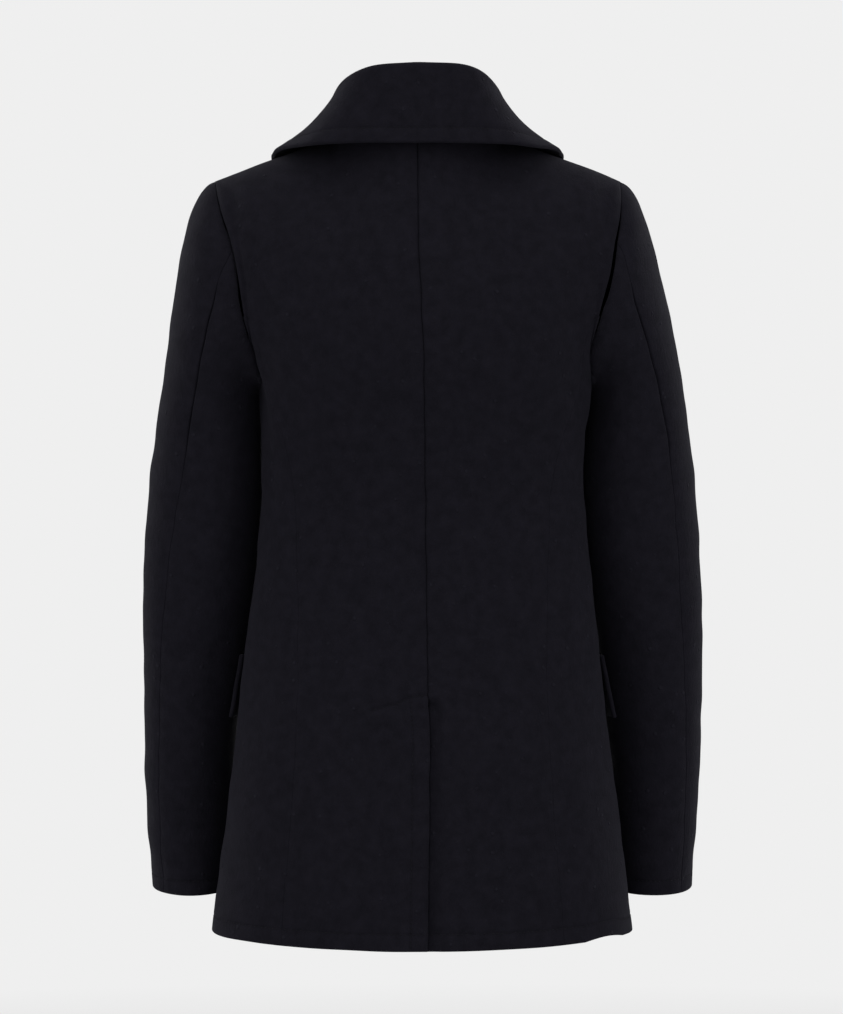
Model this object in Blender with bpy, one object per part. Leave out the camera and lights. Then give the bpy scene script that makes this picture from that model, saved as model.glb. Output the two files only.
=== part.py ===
"""Pea coat of heavy navy wool, worn shape, hollow and open at the neck, hem and cuffs.

Metres, +Z up. The front faces -Y and the wearer's left is +X. The origin is in the neck opening,
at the height of the points where the shoulder seams meet the neck. Every piece of cloth is a
closed wall built from a grid of points on its outer face.
"""
import bpy
import bmesh
import numpy as np
from math import cos, pi, radians, sin
from mathutils import Matrix, Vector
from mathutils.bvhtree import BVHTree

# ---- driving sizes ---------------------------------------------------------------------------
WALL = 0.0026           # thickness of the cloth
DOUBLE = 0.0044         # two layers of cloth sewn together: lapels and flaps
SEAM = 0.0004           # clearance between two pieces at a seam
ROW_PULL = 0.0004       # the same for one piece's end at the ridge of the shoulder
LAP = WALL + 0.0006     # how far an under layer is set in below an upper one
HEM = -0.738            # height of the hem
ARMPIT = -0.237         # height of the armpit
SIDE_Y = 0.010          # y of the widest line of the body
HEM_RISE = 0.0042       # how much higher the hem lies at the sides
HEM_RISES_BELOW = -0.660       # height below which that sets in

# Cross-sections of the body. back and front are the y of its rear and fore line, and square is
# the exponent of the oval: 2 is an ellipse, more is boxier.
TORSO = (
    # height, half_width, back, front, square
    (-0.738, 0.1930, 0.130, -0.140, 2.00),
    (-0.690, 0.1880, 0.126, -0.138, 2.05),
    (-0.615, 0.1790, 0.119, -0.134, 2.10),
    (-0.523, 0.1675, 0.109, -0.127, 2.15),
    (-0.450, 0.1595, 0.099, -0.121, 2.20),
    (-0.385, 0.1520, 0.091, -0.118, 2.25),
    (-0.324, 0.1470, 0.088, -0.122, 2.30),
    (-0.270, 0.1495, 0.097, -0.136, 2.35),
    (-0.237, 0.1520, 0.104, -0.142, 2.40),
)
# Angles round the body: 0 is the side, 90 the middle of the back or front. The shoulder seam runs
# from TIP to NECK, the armhole from 0 to TIP.
TIP = radians(42)
NECK = radians(71)
FRONT_EDGE = 0.070      # how far a front reaches past the centre front
BREAK = radians(113)    # angle of that edge at the armpit's height
SHOULDER_POINT = (0.0705, -0.005, 0.000)
SHOULDER_TIP = (0.1875, -0.010, -0.045)
NAPE = (0.0, 0.062, 0.010)
ARMHOLE_RISE = 0.0935   # half the height of the armhole
ARMHOLE_BACK = 0.062    # half its depth towards the back
ARMHOLE_FRONT = 0.066
ARMHOLE_MID = -0.1385   # height of its middle
ARMHOLE_SWAY = 0.009    # how far its top leans forward of its middle
ARMHOLE = (
    # angle from the top, x at the back, x at the front
    (0, 0.1875, 0.1875),
    (35, 0.1830, 0.1790),
    (70, 0.1740, 0.1650),
    (100, 0.1650, 0.1580),
    (130, 0.1540, 0.1540),
    (155, 0.1505, 0.1515),
    (180, 0.1515, 0.1515),
)
# Neck edge of a front: from the shoulder seam down the roll line of the lapel to its break
NECK_EDGE = (
    # along, x, y, z
    (0.00, 0.0705, -0.005, 0.000),
    (0.15, 0.0700, -0.045, -0.024),
    (0.32, 0.0590, -0.083, -0.060),
    (0.50, 0.0260, -0.108, -0.104),
    (0.75, -0.0230, -0.130, -0.162),
    (1.00, -0.0695, -0.1316, -0.220),
)
# Direction in which the cloth arrives at its top edge, for the back; the front has -y
ARRIVAL = (
    # angle at the back, direction of the cloth at its top edge
    (0, 0.00, 0.00, 1.00),
    (12, 0.30, -0.45, 0.84),
    (26, 0.55, -0.80, 0.22),
    (37, 0.45, -0.86, -0.24),
    (42, 0.30, -0.93, -0.20),
    (48, 0.00, -1.00, -0.05),
    (62, 0.00, -1.00, 0.10),
    (71, 0.00, -0.85, 0.50),
    (80, 0.00, -0.50, 0.87),
    (92, 0.00, -0.38, 0.92),
)
FRONT_ARRIVAL = (
    # angle at the front, direction of the cloth at its top edge
    (0, 0.00, 0.00, 1.00),
    (12, 0.32, 0.35, 0.88),
    (26, 0.75, 0.52, 0.28),
    (37, 0.62, 0.66, -0.32),
    (42, 0.45, 0.84, -0.25),
    (48, 0.00, 1.00, -0.03),
    (62, 0.00, 1.00, 0.10),
    (71, 0.00, 0.85, 0.50),
    (80, 0.00, 0.50, 0.87),
    (113, 0.00, 0.38, 0.92),
)
RISE_PULL = 0.36        # share of a rise that each end's direction holds
ROUNDING = radians(9)   # to both sides, for the corners of the top edge as the cloth follows it
ROUNDING_SAMPLES = 9    # points of that reach whose mean is taken
ROUNDED_TO = (0.62, 1.0)        # shares of the rise between which the edge's true line takes over
LEAN = 0.0045           # how far the top of the coat leans to the wearer's left
LEAN_RANGE = (-0.235, -0.090)   # heights between which it sets in

# ---- seams -----------------------------------------------------------------------------------
CENTRE_BACK = (
    # height, x of the centre-back seam
    (-0.738, -0.0035),
    (-0.523, -0.0050),
    (-0.450, -0.0040),
    (-0.237, -0.0015),
)
SIDE_BACK = (
    # height, angle of the seam between back and side panel
    (-0.738, 49.0),
    (-0.610, 50.0),
    (-0.500, 49.0),
    (-0.430, 46.5),
    (-0.360, 42.5),
    (-0.320, 39.0),
    (-0.285, 34.0),
    (-0.260, 28.0),
    (-0.237, 22.0),
)
SIDE_FRONT = (
    # height, angle of the seam between side panel and front
    (-0.738, 30.0),
    (-0.500, 28.0),
    (-0.330, 25.0),
    (-0.237, 16.0),
)
HIND_ARM = (
    # height, angle round the sleeve from its outer side to the back
    (-0.700, 47.0),
    (-0.560, 51.0),
    (-0.430, 55.5),
    (-0.320, 67.0),
    (-0.250, 71.0),
    (-0.140, 69.0),
)
FORE_ARM = -122.0       # the same for the seam at the front of the arm, straight

# ---- grids -----------------------------------------------------------------------------------
VENT_SEAM = -0.512      # last height at which the centre-back seam is closed
VENT_TOP = -0.522
VENT_EDGE = -0.531      # from here down the left back covers the right one
HEIGHTS = (-0.738, -0.708, -0.670, -0.630, -0.590, -0.560, VENT_EDGE, VENT_TOP, VENT_SEAM,
           -0.480, -0.440, -0.400, -0.360, -0.324, -0.290, -0.262, ARMPIT)
RISES = (0.12, 0.25, 0.38, 0.50, 0.62, 0.73, 0.83, 0.92, 1.00)
VENT_COVER = 0.001      # how far the left back reaches over the centre-back seam at the vent
VENT_WIDTH = 0.040      # width of the right back's underlap
UNDERLAP = (-VENT_WIDTH, -0.026, -0.012)
BACK_STEP = (0.0, 0.0065, 0.0150)           # x distances from the seam, for the vent's step
BACK_ANGLES = (79, 71, 61, 51.5, 42, 34, 27)
FRONT_STEP = (-FRONT_EDGE, -0.059, -0.045, -0.020, 0.006, 0.034, 0.0597, 0.0735, 0.0850)
FRONT_ANGLES = (51.5, 42, 33, 24)
SIDE_COLUMNS = 5
FRONT_LAP = WALL + 0.0014                   # how far the left front is set in below the right
STEP_START = 0.0035                         # the step back out begins this far past the edge
STEP_LENGTH = 0.0110
STEP_REACH = 0.0200                         # it also clears the right front this far above
STEP_MARGIN = 0.0020
STEP_WIDER = 0.0270                         # and this much farther along the slanted roll line,
STEP_TURN = (-0.250, -0.210)                # which begins between these heights

# ---- sleeves ---------------------------------------------------------------------------------
SLEEVE = (
    # height, x, y, half_width, half_depth
    (-0.700, 0.2145, -0.0640, 0.0385, 0.0490),
    (-0.640, 0.2155, -0.0560, 0.0410, 0.0480),
    (-0.560, 0.2165, -0.0450, 0.0428, 0.0480),
    (-0.500, 0.2134, -0.0370, 0.0466, 0.0490),
    (-0.430, 0.2072, -0.0280, 0.0515, 0.0500),
    (-0.320, 0.2002, -0.0230, 0.0525, 0.0575),
    (-0.250, 0.1964, -0.0180, 0.0460, 0.0630),
)
BICEPS = -0.250         # height at which the sleeve head has turned into a plain tube
CUFF = -0.700
SLEEVE_HEIGHTS = (CUFF, -0.675, -0.635, -0.595, -0.555, -0.515, -0.475, -0.435, -0.395, -0.355,
                  -0.315, -0.280, BICEPS)
CAP_STEPS = (0.80, 0.62, 0.46, 0.32, 0.20, 0.10, 0.00)
TOP_COLUMNS = 12
UNDER_COLUMNS = 10
CUFF_TILT = 0.10        # the cuff's rear rim hangs lower than its fore rim
HIND_RISE = 0.110       # height over which the sleeve head follows the hind-arm table
SLEEVE_SET = 0.0007     # clearance of the sleeve head from the armhole's edge
CAP_REACH = 0.030       # how far the sleeve head keeps the shoulder's direction
DEPARTURE = (
    # angle from the top of the armhole, direction of the sleeve there; the front has -y
    (0, 0.96, 0.00, -0.28),
    (90, 0.75, 0.25, -0.60),
    (150, 0.45, 0.05, -0.88),
    (180, 0.12, 0.00, -1.00),
)

# ---- collar, lapels, flaps and buttons ---------------------------------------------------------
COLLAR = (
    # along, roll x, y, z, edge x, y, z, spread of the fall's lower part
    (0.00, 0.000, 0.079, 0.0545, 0.000, 0.087, -0.0185, 0.000),
    (0.25, 0.044, 0.069, 0.0525, 0.074, 0.080, -0.0180, 0.003),
    (0.45, 0.065, 0.044, 0.0440, 0.107, 0.056, -0.0170, 0.008),
    (0.62, 0.076, 0.008, 0.0300, 0.132, 0.008, -0.0165, 0.011),
    (0.82, 0.079, -0.038, 0.0040, 0.132, -0.045, -0.0370, 0.007),
    (1.00, 0.070, -0.080, -0.0440, 0.125, -0.078, -0.063, 0.002),
)
COLLAR_COLUMNS = 17
COLLAR_SPLIT = 0.62     # share of the collar's half that lies behind the shoulder seam
COLLAR_FORE = 0.30      # share of the front's neck edge that the collar is sewn to
FOOT_IN = WALL * 0.9    # how far inside the neck seam the stand's foot lies, and how far above it
FOOT_RISE = (0.0018, 0.0043)    # at the nape and at the collar's end
ROLL_RADIUS = 0.0046    # radius of the outer face of the cloth where the collar folds
FOLD_STEPS = 4
FALL_STEPS = 6
COLLAR_CLEAR = 0.0056   # least distance of the collar's outer face from the body
ROLL = (
    # up the lapel from its lower end, x and z of the fold, x and z of the outer edge
    (0.00, 0.0640, -0.2230, 0.0450, -0.2270),
    (0.35, 0.0265, -0.1715, -0.0430, -0.1930),
    (0.70, -0.0280, -0.1060, -0.1120, -0.1330),
    (1.00, -0.0635, -0.0560, -0.1400, -0.0940),
)
NOTCH_RISE = 0.0140     # how far the lapel's upper edge is raised where the notch begins
LEFT_LAPEL = (0.62, 0.38)   # share of the left lapel that the right front hides, at fold and edge
LAPEL_ROWS = 11
LAPEL_COLUMNS = 8
LAPEL_LIFT = 0.0011     # gap below a lapel
FOLD_LIFT = 0.0030      # how much more it stands off at its fold
LAPEL_OUT = (0.25, -0.90, 0.35)     # the way it is raised, on the left
TAUT_PASSES = 8
FLAP_TOP = -0.481
FLAP_BOTTOM = -0.538
FLAP_REAR = 2.0         # angles of the flap's two ends, from the side to the front
FLAP_FORE = 58.0
FLAP_ROWS = 5
FLAP_COLUMNS = 8
FLAP_GAP = 0.0007
FLAP_FLARE = {"left": 0.0038, "right": 0.0052}     # how far the rear lower corner stands off
BUTTON_RADIUS = 0.0140
BUTTON_HEIGHT = 0.0045
BUTTON_SIDES = 20
BUTTON_GAP = SEAM + 0.0003
BUTTON_X = 0.052
BUTTON_Z = (-0.265, -0.370, -0.475)
HOLE_RADIUS = 0.0011
HOLE_SPREAD = 0.0028


# ---- reading tables ----------------------------------------------------------------------------
def smooth(rows, keys):
    """The columns after the first of a table, read at keys on a smooth curve through its rows."""
    table = np.array(rows)
    slope = np.gradient(table[:, 1:], table[:, 0], axis=0)
    keys = np.clip(np.asarray(keys, float), table[0, 0], table[-1, 0])
    low = np.clip(np.searchsorted(table[:, 0], keys) - 1, 0, len(table) - 2)
    step = (table[low + 1, 0] - table[low, 0])[..., None]
    t = (keys - table[low, 0])[..., None] / step
    a, b = table[low, 1:], table[low + 1, 1:]
    ease = t * t * (3 - 2 * t)
    return (a + (b - a) * ease + step * slope[low] * t * (1 - t) ** 2
            - step * slope[low + 1] * t * t * (1 - t))


def ramp(value, start, end):
    """0 at start, 1 at end, soft at both."""
    t = np.clip((value - start) / (end - start), 0, 1)
    return t * t * (3 - 2 * t)


def power(value, exponent):
    return np.sign(value) * np.abs(value) ** exponent


def unit(vectors):
    return vectors / np.maximum(np.linalg.norm(vectors, axis=-1, keepdims=True), 1e-12)


def bezier(a, b, c, d, t):
    s = 1 - t
    return a * s ** 3 + 3 * b * s * s * t + 3 * c * s * t * t + d * t ** 3


# ---- the body's surface ------------------------------------------------------------------------
def section(theta, height):
    """Points of the body below the armpit; theta > 0 is the back, theta < 0 the front."""
    half, back, front, square = np.moveaxis(smooth(TORSO, height), -1, 0)
    depth = np.where(theta > 0, back - SIDE_Y, SIDE_Y - front)
    x = half * power(np.cos(theta), 2 / square)
    y = SIDE_Y + depth * power(np.sin(theta), 2 / square)
    lift = HEM_RISE * ramp(height, HEM_RISES_BELOW, HEM) * np.cos(theta) ** 2
    return np.stack((x, y, height + lift), -1)


def angle_at(x, height):
    """The angle, 0 to 180 degrees, at which a section has this x."""
    half, _, _, square = np.moveaxis(smooth(TORSO, height), -1, 0)
    return np.arccos(power(x / half, square / 2))


def armhole(phi):
    """The armhole's edge; phi runs from its top over the back (phi > 0) or the front (phi < 0)."""
    x = smooth(ARMHOLE, np.degrees(np.abs(phi)))
    reach = np.where(phi > 0, ARMHOLE_BACK, ARMHOLE_FRONT)
    y = -0.001 - ARMHOLE_SWAY * np.cos(phi) + reach * np.sin(phi)
    z = ARMHOLE_MID + ARMHOLE_RISE * np.cos(phi)
    return np.stack((np.where(phi > 0, x[..., 0], x[..., 1]), y, z), -1)


def top_edge(theta):
    """Where the cloth ends at the top: armhole, shoulder seam, then neck or roll line."""
    size = np.abs(theta)
    sign = np.where(theta < 0, -1.0, 1.0)
    phi = sign * pi * (1 - np.clip(size / TIP, 0, 1) ** 1.5)
    hole = armhole(phi)
    along = np.clip((size - TIP) / (NECK - TIP), 0, 1)[..., None]
    shoulder = np.array(SHOULDER_TIP) * (1 - along) + np.array(SHOULDER_POINT) * along
    turn = np.maximum((size - NECK) / (pi / 2 - NECK), 0)[..., None] * pi / 2
    point, nape = np.array(SHOULDER_POINT), np.array(NAPE)
    back = np.concatenate((point[:1] * np.cos(turn),
                           point[1:] + (nape[1:] - point[1:]) * np.sin(turn)), -1)
    front = smooth(NECK_EDGE, (size - NECK) / (BREAK - NECK))
    neck = np.where(theta[..., None] > 0, back, front)
    upper = np.where(size[..., None] > NECK, neck, shoulder)
    return np.where(size[..., None] < TIP, hole, upper)


def arrival(theta):
    """The direction in which the cloth reaches its top edge."""
    size = np.degrees(np.abs(theta))
    return np.where(theta[..., None] < 0, smooth(FRONT_ARRIVAL, size), smooth(ARRIVAL, size))


def rounded(edge, theta):
    """An edge's values with its corners rounded, as the cloth below it lies."""
    reach = ROUNDING * np.clip((BREAK - np.abs(theta)) / ROUNDING, 0, 1)
    shares = np.linspace(-1, 1, ROUNDING_SAMPLES)
    return sum(edge(theta + share * reach) for share in shares) / len(shares)


def torso(theta, height, rise):
    """The outer face of the body: sections up to the armpit, then rises to the top edge."""
    low = section(theta, height)
    below = section(theta, np.full_like(theta, ARMPIT - 0.01))
    start = section(theta, np.full_like(theta, ARMPIT))
    exact = ramp(rise, *ROUNDED_TO)[..., None]
    end = rounded(top_edge, theta) * (1 - exact) + top_edge(theta) * exact
    length = np.linalg.norm(end - start, axis=-1, keepdims=True) * RISE_PULL
    ahead = unit(rounded(arrival, theta))
    high = bezier(start, start + length * unit(start - below), end - length * ahead, end,
                  rise[..., None])
    return np.where(rise[..., None] > 0, high, low)


# ---- building walls ----------------------------------------------------------------------------
def face_normals(grid):
    """Unit normals of a grid of points, along the cross product of its rows and columns."""
    across = np.gradient(grid, axis=1, edge_order=2)
    return unit(np.cross(across, np.gradient(grid, axis=0, edge_order=2)))


def inset(grid, rows=(True, True), columns=(True, True)):
    """The grid with the chosen outer rows and columns pulled in from their seams."""
    grid = grid.copy()
    for axis, ends, pull in ((0, rows, ROW_PULL), (1, columns, SEAM / 2)):
        lines = np.moveaxis(grid, axis, 0)
        for pulled, line, nearest in ((ends[0], 0, 1), (ends[1], -1, -2)):
            if pulled:
                lines[line] += unit(lines[nearest] - lines[line]) * pull
    return grid


def wall(name, grid, colour, outward=1, thickness=WALL, kept=None, shoulder=None):
    """A closed wall: the grid is its outer face, and the inner face lies thickness behind it.

    shoulder marks the columns whose last row lies on the shoulder seam, where both walls end in
    the plane through the seam.
    """
    rows, columns, _ = grid.shape
    normals = face_normals(grid) * outward
    if shoulder is not None:
        slope = np.array(SHOULDER_TIP) - np.array(SHOULDER_POINT)
        side = np.sign(grid[0, 0, 0] + grid[0, -1, 0])
        normals[-1, shoulder] = unit(np.array((-slope[2] * side, 0, slope[0])))
    inner = grid - normals * thickness
    points = np.concatenate((grid.reshape(-1, 3), inner.reshape(-1, 3)))
    points[:, 0] += LEAN * ramp(points[:, 2], *LEAN_RANGE)
    count = rows * columns
    faces = []
    for i in range(rows - 1):
        for j in range(columns - 1):
            if kept is None or kept[i, j]:
                a = i * columns + j
                ring = (a, a + 1, a + columns + 1, a + columns)
                faces.append(ring if outward > 0 else ring[::-1])
    edges = {(f[k], f[(k + 1) % 4]) for f in faces for k in range(4)}
    rims = [(b, a, a + count, b + count) for a, b in sorted(edges) if (b, a) not in edges]
    faces += [tuple(p + count for p in reversed(f)) for f in faces] + rims
    return solid(name, points, faces, colour)


def solid(name, points, faces, colour):
    mesh = bpy.data.meshes.new(name)
    mesh.from_pydata([tuple(p) for p in points], [], faces)
    shape = bmesh.new()
    shape.from_mesh(mesh)
    bmesh.ops.delete(shape, geom=[v for v in shape.verts if not v.link_faces], context="VERTS")
    bmesh.ops.triangulate(shape, faces=shape.faces)
    shape.to_mesh(mesh)
    shape.free()
    mesh.shade_smooth()
    mesh.set_sharp_from_angle(angle=radians(40))
    piece = bpy.data.objects.new(name, mesh)
    bpy.context.scene.collection.objects.link(piece)
    piece.data.materials.append(material(name, *colour))
    return piece


def material(name, colour, roughness):
    made = bpy.data.materials.new(name)
    made.use_nodes = True
    shader = made.node_tree.nodes["Principled BSDF"]
    shader.inputs["Base Color"].default_value = (*colour, 1)
    shader.inputs["Roughness"].default_value = roughness
    shader.inputs["Metallic"].default_value = 0.0
    return made


CLOTH = ((0.0075, 0.0070, 0.0110), 0.90)
HORN = ((0.0060, 0.0060, 0.0085), 0.35)


def tree_of(grids):
    """A search tree of the faces of some grids."""
    points, faces = [], []
    for grid in grids:
        rows, columns, _ = grid.shape
        start = len(points)
        points += [Vector(p) for p in grid.reshape(-1, 3)]
        for i in range(rows - 1):
            for j in range(columns - 1):
                a = start + i * columns + j
                faces.append((a, a + 1, a + columns + 1, a + columns))
    return BVHTree.FromPolygons(points, faces)


# ---- panels of the body ------------------------------------------------------------------------
def levels():
    """Heights and rises of a panel's rows, from the hem to its top edge."""
    heights = np.array(HEIGHTS + (ARMPIT,) * len(RISES))
    rises = np.array((0.0,) * len(HEIGHTS) + RISES)
    return heights, rises


def spread(first, last, angles, height):
    """Angles of the columns between two lines, in the shares that they have at the armpit."""
    at_armpit = np.radians(np.array(angles))
    start, end = first(ARMPIT), last(ARMPIT)
    share = (start - at_armpit) / (start - end)
    return first(height) * (1 - share) + last(height) * share


def seam_x(height):
    return float(smooth(CENTRE_BACK, height)[0])


def seam_angle(table, height):
    return radians(float(smooth(table, height)[0]))


def panel_grid(rows_of_angles):
    heights, rises = levels()
    theta = np.array(rows_of_angles)
    full = np.ones_like(theta)
    return torso(theta, heights[:, None] * full, rises[:, None] * full)


def mirror(grid, side):
    return grid * np.array((side, 1, 1))


def on_shoulder(angles):
    """Which columns, by their angles at the armpit, end on the shoulder seam."""
    size = np.abs(angles)
    tolerance = 0.01
    return (size > TIP - tolerance) & (size < NECK + tolerance)


def to_centre(theta, seam):
    """Turns that bring the centre-back seam from its angle to the middle of the neck."""
    return (pi / 2 - seam) * np.clip((theta - NECK) / (pi / 2 - NECK), 0, 1)


def back(side):
    """One back panel. The left one covers the vent, the right one has the underlap."""
    heights, rises = levels()
    covers = side > 0
    steps = BACK_STEP if covers else UNDERLAP + BACK_STEP
    rows = []
    for height, rise in zip(heights, rises):
        shift = side * seam_x(height)
        edge = [angle_at(shift + step, height) for step in steps]
        if covers and height <= VENT_EDGE:
            edge[0] = angle_at(shift - VENT_COVER, height)
        outer = spread(lambda h: angle_at(side * seam_x(h) + steps[-1], h),
                       lambda h: seam_angle(SIDE_BACK, h), BACK_ANGLES, height)
        row = np.array([*edge, *outer, seam_angle(SIDE_BACK, height)])
        rows.append(row + to_centre(row, angle_at(shift, height)) * rise)
    grid = mirror(panel_grid(rows), side)
    kept = None
    if not covers:
        near = ramp(np.array(UNDERLAP + BACK_STEP), BACK_STEP[2], BACK_STEP[1])
        depth = np.zeros(grid.shape[:2])
        depth[:, :len(near)] = near
        depth *= ((heights <= VENT_TOP) & (rises == 0))[:, None]
        grid -= face_normals(grid) * (depth * LAP)[..., None]
        kept = np.ones((grid.shape[0] - 1, grid.shape[1] - 1), bool)
        kept[heights[1:] > VENT_TOP, :len(UNDERLAP)] = False
    centre = len(steps) - len(BACK_STEP)
    body = inset(grid[:, centre:], rows=(False, True))
    grid[:, centre:] = body
    name = "back_left" if covers else "back_right"
    return wall(name, grid, CLOTH, outward=-side, kept=kept, shoulder=on_shoulder(rows[-1]))


def side_panel(side):
    heights, _ = levels()
    rows = [np.linspace(seam_angle(SIDE_BACK, h), -seam_angle(SIDE_FRONT, h), SIDE_COLUMNS)
            for h in heights]
    grid = inset(mirror(panel_grid(rows), side), rows=(False, True))
    return wall("side_left" if side > 0 else "side_right", grid, CLOTH, outward=-side)


def front_angles():
    """The angles of a front's columns, a row for each level."""
    rows = []
    for height in levels()[0]:
        edge = [-angle_at(step, height) for step in reversed(FRONT_STEP)]
        outer = -spread(lambda h: angle_at(FRONT_STEP[-1], h),
                        lambda h: seam_angle(SIDE_FRONT, h), FRONT_ANGLES, height)
        rows.append([-seam_angle(SIDE_FRONT, height), *outer[::-1], *edge])
    return rows


def under(grid, cover):
    """The left front's grid, set in where it lies below the right front."""
    tree = tree_of([cover])
    line = top_edge(-np.linspace(BREAK, NECK, 40))
    for point in grid.reshape(-1, 3):
        edge = np.interp(point[2], line[:, 2], -line[:, 0])
        start = edge + STEP_START + STEP_WIDER * ramp(point[2], *STEP_TURN)
        share = ramp(point[0], start + STEP_LENGTH, start)
        if share > 0:
            level = point[1]
            for up in (0, STEP_REACH):
                before = Vector((min(point[0], edge - STEP_MARGIN), -1, point[2] + up))
                spot = tree.ray_cast(before, Vector((0, 1, 0)))[0]
                level = max(level, spot.y) if spot else level
            point[1] += share * (level + FRONT_LAP - point[1])
    return grid


def front(side):
    """One front. The right one covers the left one, which is set in below it."""
    angles = front_angles()
    grid = mirror(panel_grid(angles), side)
    if side > 0:
        grid = under(grid, mirror(grid, -1))
    grid = inset(grid, rows=(False, True), columns=(True, False))
    return wall("front_left" if side > 0 else "front_right", grid, CLOTH, outward=-side,
                shoulder=on_shoulder(angles[-1]))


# ---- sleeves -----------------------------------------------------------------------------------
def ring(phi, height):
    """A point of the sleeve below its head; phi runs from its outer side over the back."""
    x, y, half_width, half_depth = np.moveaxis(smooth(SLEEVE, height), -1, 0)
    across, along = half_width * np.cos(phi), half_depth * np.sin(phi)
    tilt = CUFF_TILT * ramp(height, -0.430, CUFF)
    return np.stack((x + across, y + along, height - tilt * along), -1)


def sleeve_surface(phi, height, cap):
    """The outer face of a sleeve: rings up to the biceps, then the head up to the armhole."""
    low = ring(phi, height)
    end = ring(phi, np.full_like(phi, BICEPS))
    below = ring(phi, np.full_like(phi, BICEPS - 0.01))
    wrapped = (phi + pi) % (2 * pi) - pi
    start = armhole(wrapped) + np.array((SLEEVE_SET, 0, 0))
    leave = smooth(DEPARTURE, np.degrees(np.abs(wrapped)))
    leave[..., 1] *= np.where(wrapped < 0, -1, 1)
    length = np.linalg.norm(end - start, axis=-1, keepdims=True)
    first = start + unit(leave) * np.minimum(0.3 * length, CAP_REACH)
    last = end - unit(below - end) * 0.5 * length
    high = bezier(start, first, last, end, cap[..., None])
    return np.where(cap[..., None] < 1, high, low)


def sleeve(side, upper):
    heights = np.array(SLEEVE_HEIGHTS + (BICEPS,) * len(CAP_STEPS))
    caps = np.array((1.0,) * len(SLEEVE_HEIGHTS) + CAP_STEPS)
    rows = []
    for height, cap in zip(heights, caps):
        hind = seam_angle(HIND_ARM, height + HIND_RISE * (1 - cap))
        fore = radians(FORE_ARM)
        ends = (fore, hind, TOP_COLUMNS) if upper else (hind, fore + 2 * pi, UNDER_COLUMNS)
        rows.append(np.linspace(*ends))
    phi = np.array(rows)
    full = np.ones_like(phi)
    grid = sleeve_surface(phi, heights[:, None] * full, caps[:, None] * full)
    grid = inset(mirror(grid, side), rows=(False, False))
    name = ("top_sleeve_" if upper else "under_sleeve_") + ("left" if side > 0 else "right")
    return wall(name, grid, CLOTH, outward=side)


# ---- pieces that lie on the body ---------------------------------------------------------------
def body_tree():
    """The body's whole outer face as a search tree, for what lies on it."""
    low, high = 40, 30
    heights = np.concatenate((np.linspace(HEM, ARMPIT, low), np.full(high, ARMPIT)))
    rises = np.concatenate((np.zeros(low), np.linspace(0, 1, high + 1)[1:]))
    theta = np.ones((low + high, 1)) * np.linspace(-BREAK, pi / 2, 120)
    full = np.ones_like(theta)
    grid = torso(theta, heights[:, None] * full, rises[:, None] * full)
    return tree_of([grid, mirror(grid, -1)])


def outward_normal(point, normal):
    """The normal that points away from the middle of the body."""
    middle = Vector((0, 0, min(point.z, ARMHOLE_MID)))
    return normal if normal.dot(point - middle) > 0 else -normal


def on_front(tree, x, z, lift):
    """The point of the front at this x and z, moved out by lift."""
    spot, normal, _, _ = tree.ray_cast(Vector((x, -1, z)), Vector((0, 1, 0)))
    return spot + outward_normal(spot, normal) * lift


def clear_of(tree, point, distance):
    """The point, pushed out where it is nearer to the body than distance."""
    spot, normal, _, _ = tree.find_nearest(Vector(point))
    normal = outward_normal(spot, normal)
    height = (Vector(point) - spot).dot(normal)
    if height < distance:
        return Vector(point) + normal * (distance - height)
    return Vector(point)


def taut(grid, out):
    """The grid with its dents bridged towards out, as stiff cloth lies over them."""
    for axis in (0, 1) * TAUT_PASSES:
        lines = np.moveaxis(grid, axis, 0)
        sag = ((lines[:-2] + lines[2:]) / 2 - lines[1:-1]) @ out
        lines[1:-1] += np.maximum(sag, 0)[..., None] * out
    return grid


def lapel(side, tree):
    """A turned-back lapel, two layers thick, on its front."""
    hidden = LEFT_LAPEL if side > 0 else (0, 0)
    out = unit(np.array(LAPEL_OUT)) * np.array((side, 1, 1))
    grid = []
    for up in np.linspace(0, 1, LAPEL_ROWS):
        row = []
        for across in np.linspace(0, 1, LAPEL_COLUMNS):
            start = hidden[0] + (hidden[1] - hidden[0]) * across
            fold_x, fold_z, edge_x, edge_z = smooth(ROLL, start + (1 - start) * up)
            x = fold_x + (edge_x - fold_x) * across
            z = fold_z + (edge_z - fold_z) * across
            z += NOTCH_RISE * 2 * min(across, 1 - across) * up ** 3
            spot = np.array(on_front(tree, x * -side, z, 0))
            row.append(spot + (LAPEL_LIFT + FOLD_LIFT * (1 - across) ** 4) * out)
        grid.append(row)
    grid = taut(np.array(grid), out) + DOUBLE * out
    return wall("lapel_left" if side > 0 else "lapel_right", grid, CLOTH, outward=side,
                thickness=DOUBLE)


def neck_seam(along):
    """The inner upper edge of the neck seam, from the nape (0) to the collar's end (1)."""
    if along < COLLAR_SPLIT:
        theta = pi / 2 + (NECK - pi / 2) * along / COLLAR_SPLIT
    else:
        past = (along - COLLAR_SPLIT) / (1 - COLLAR_SPLIT)
        theta = -NECK - (BREAK - NECK) * COLLAR_FORE * past
    return top_edge(np.array([theta]))[0]


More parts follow.
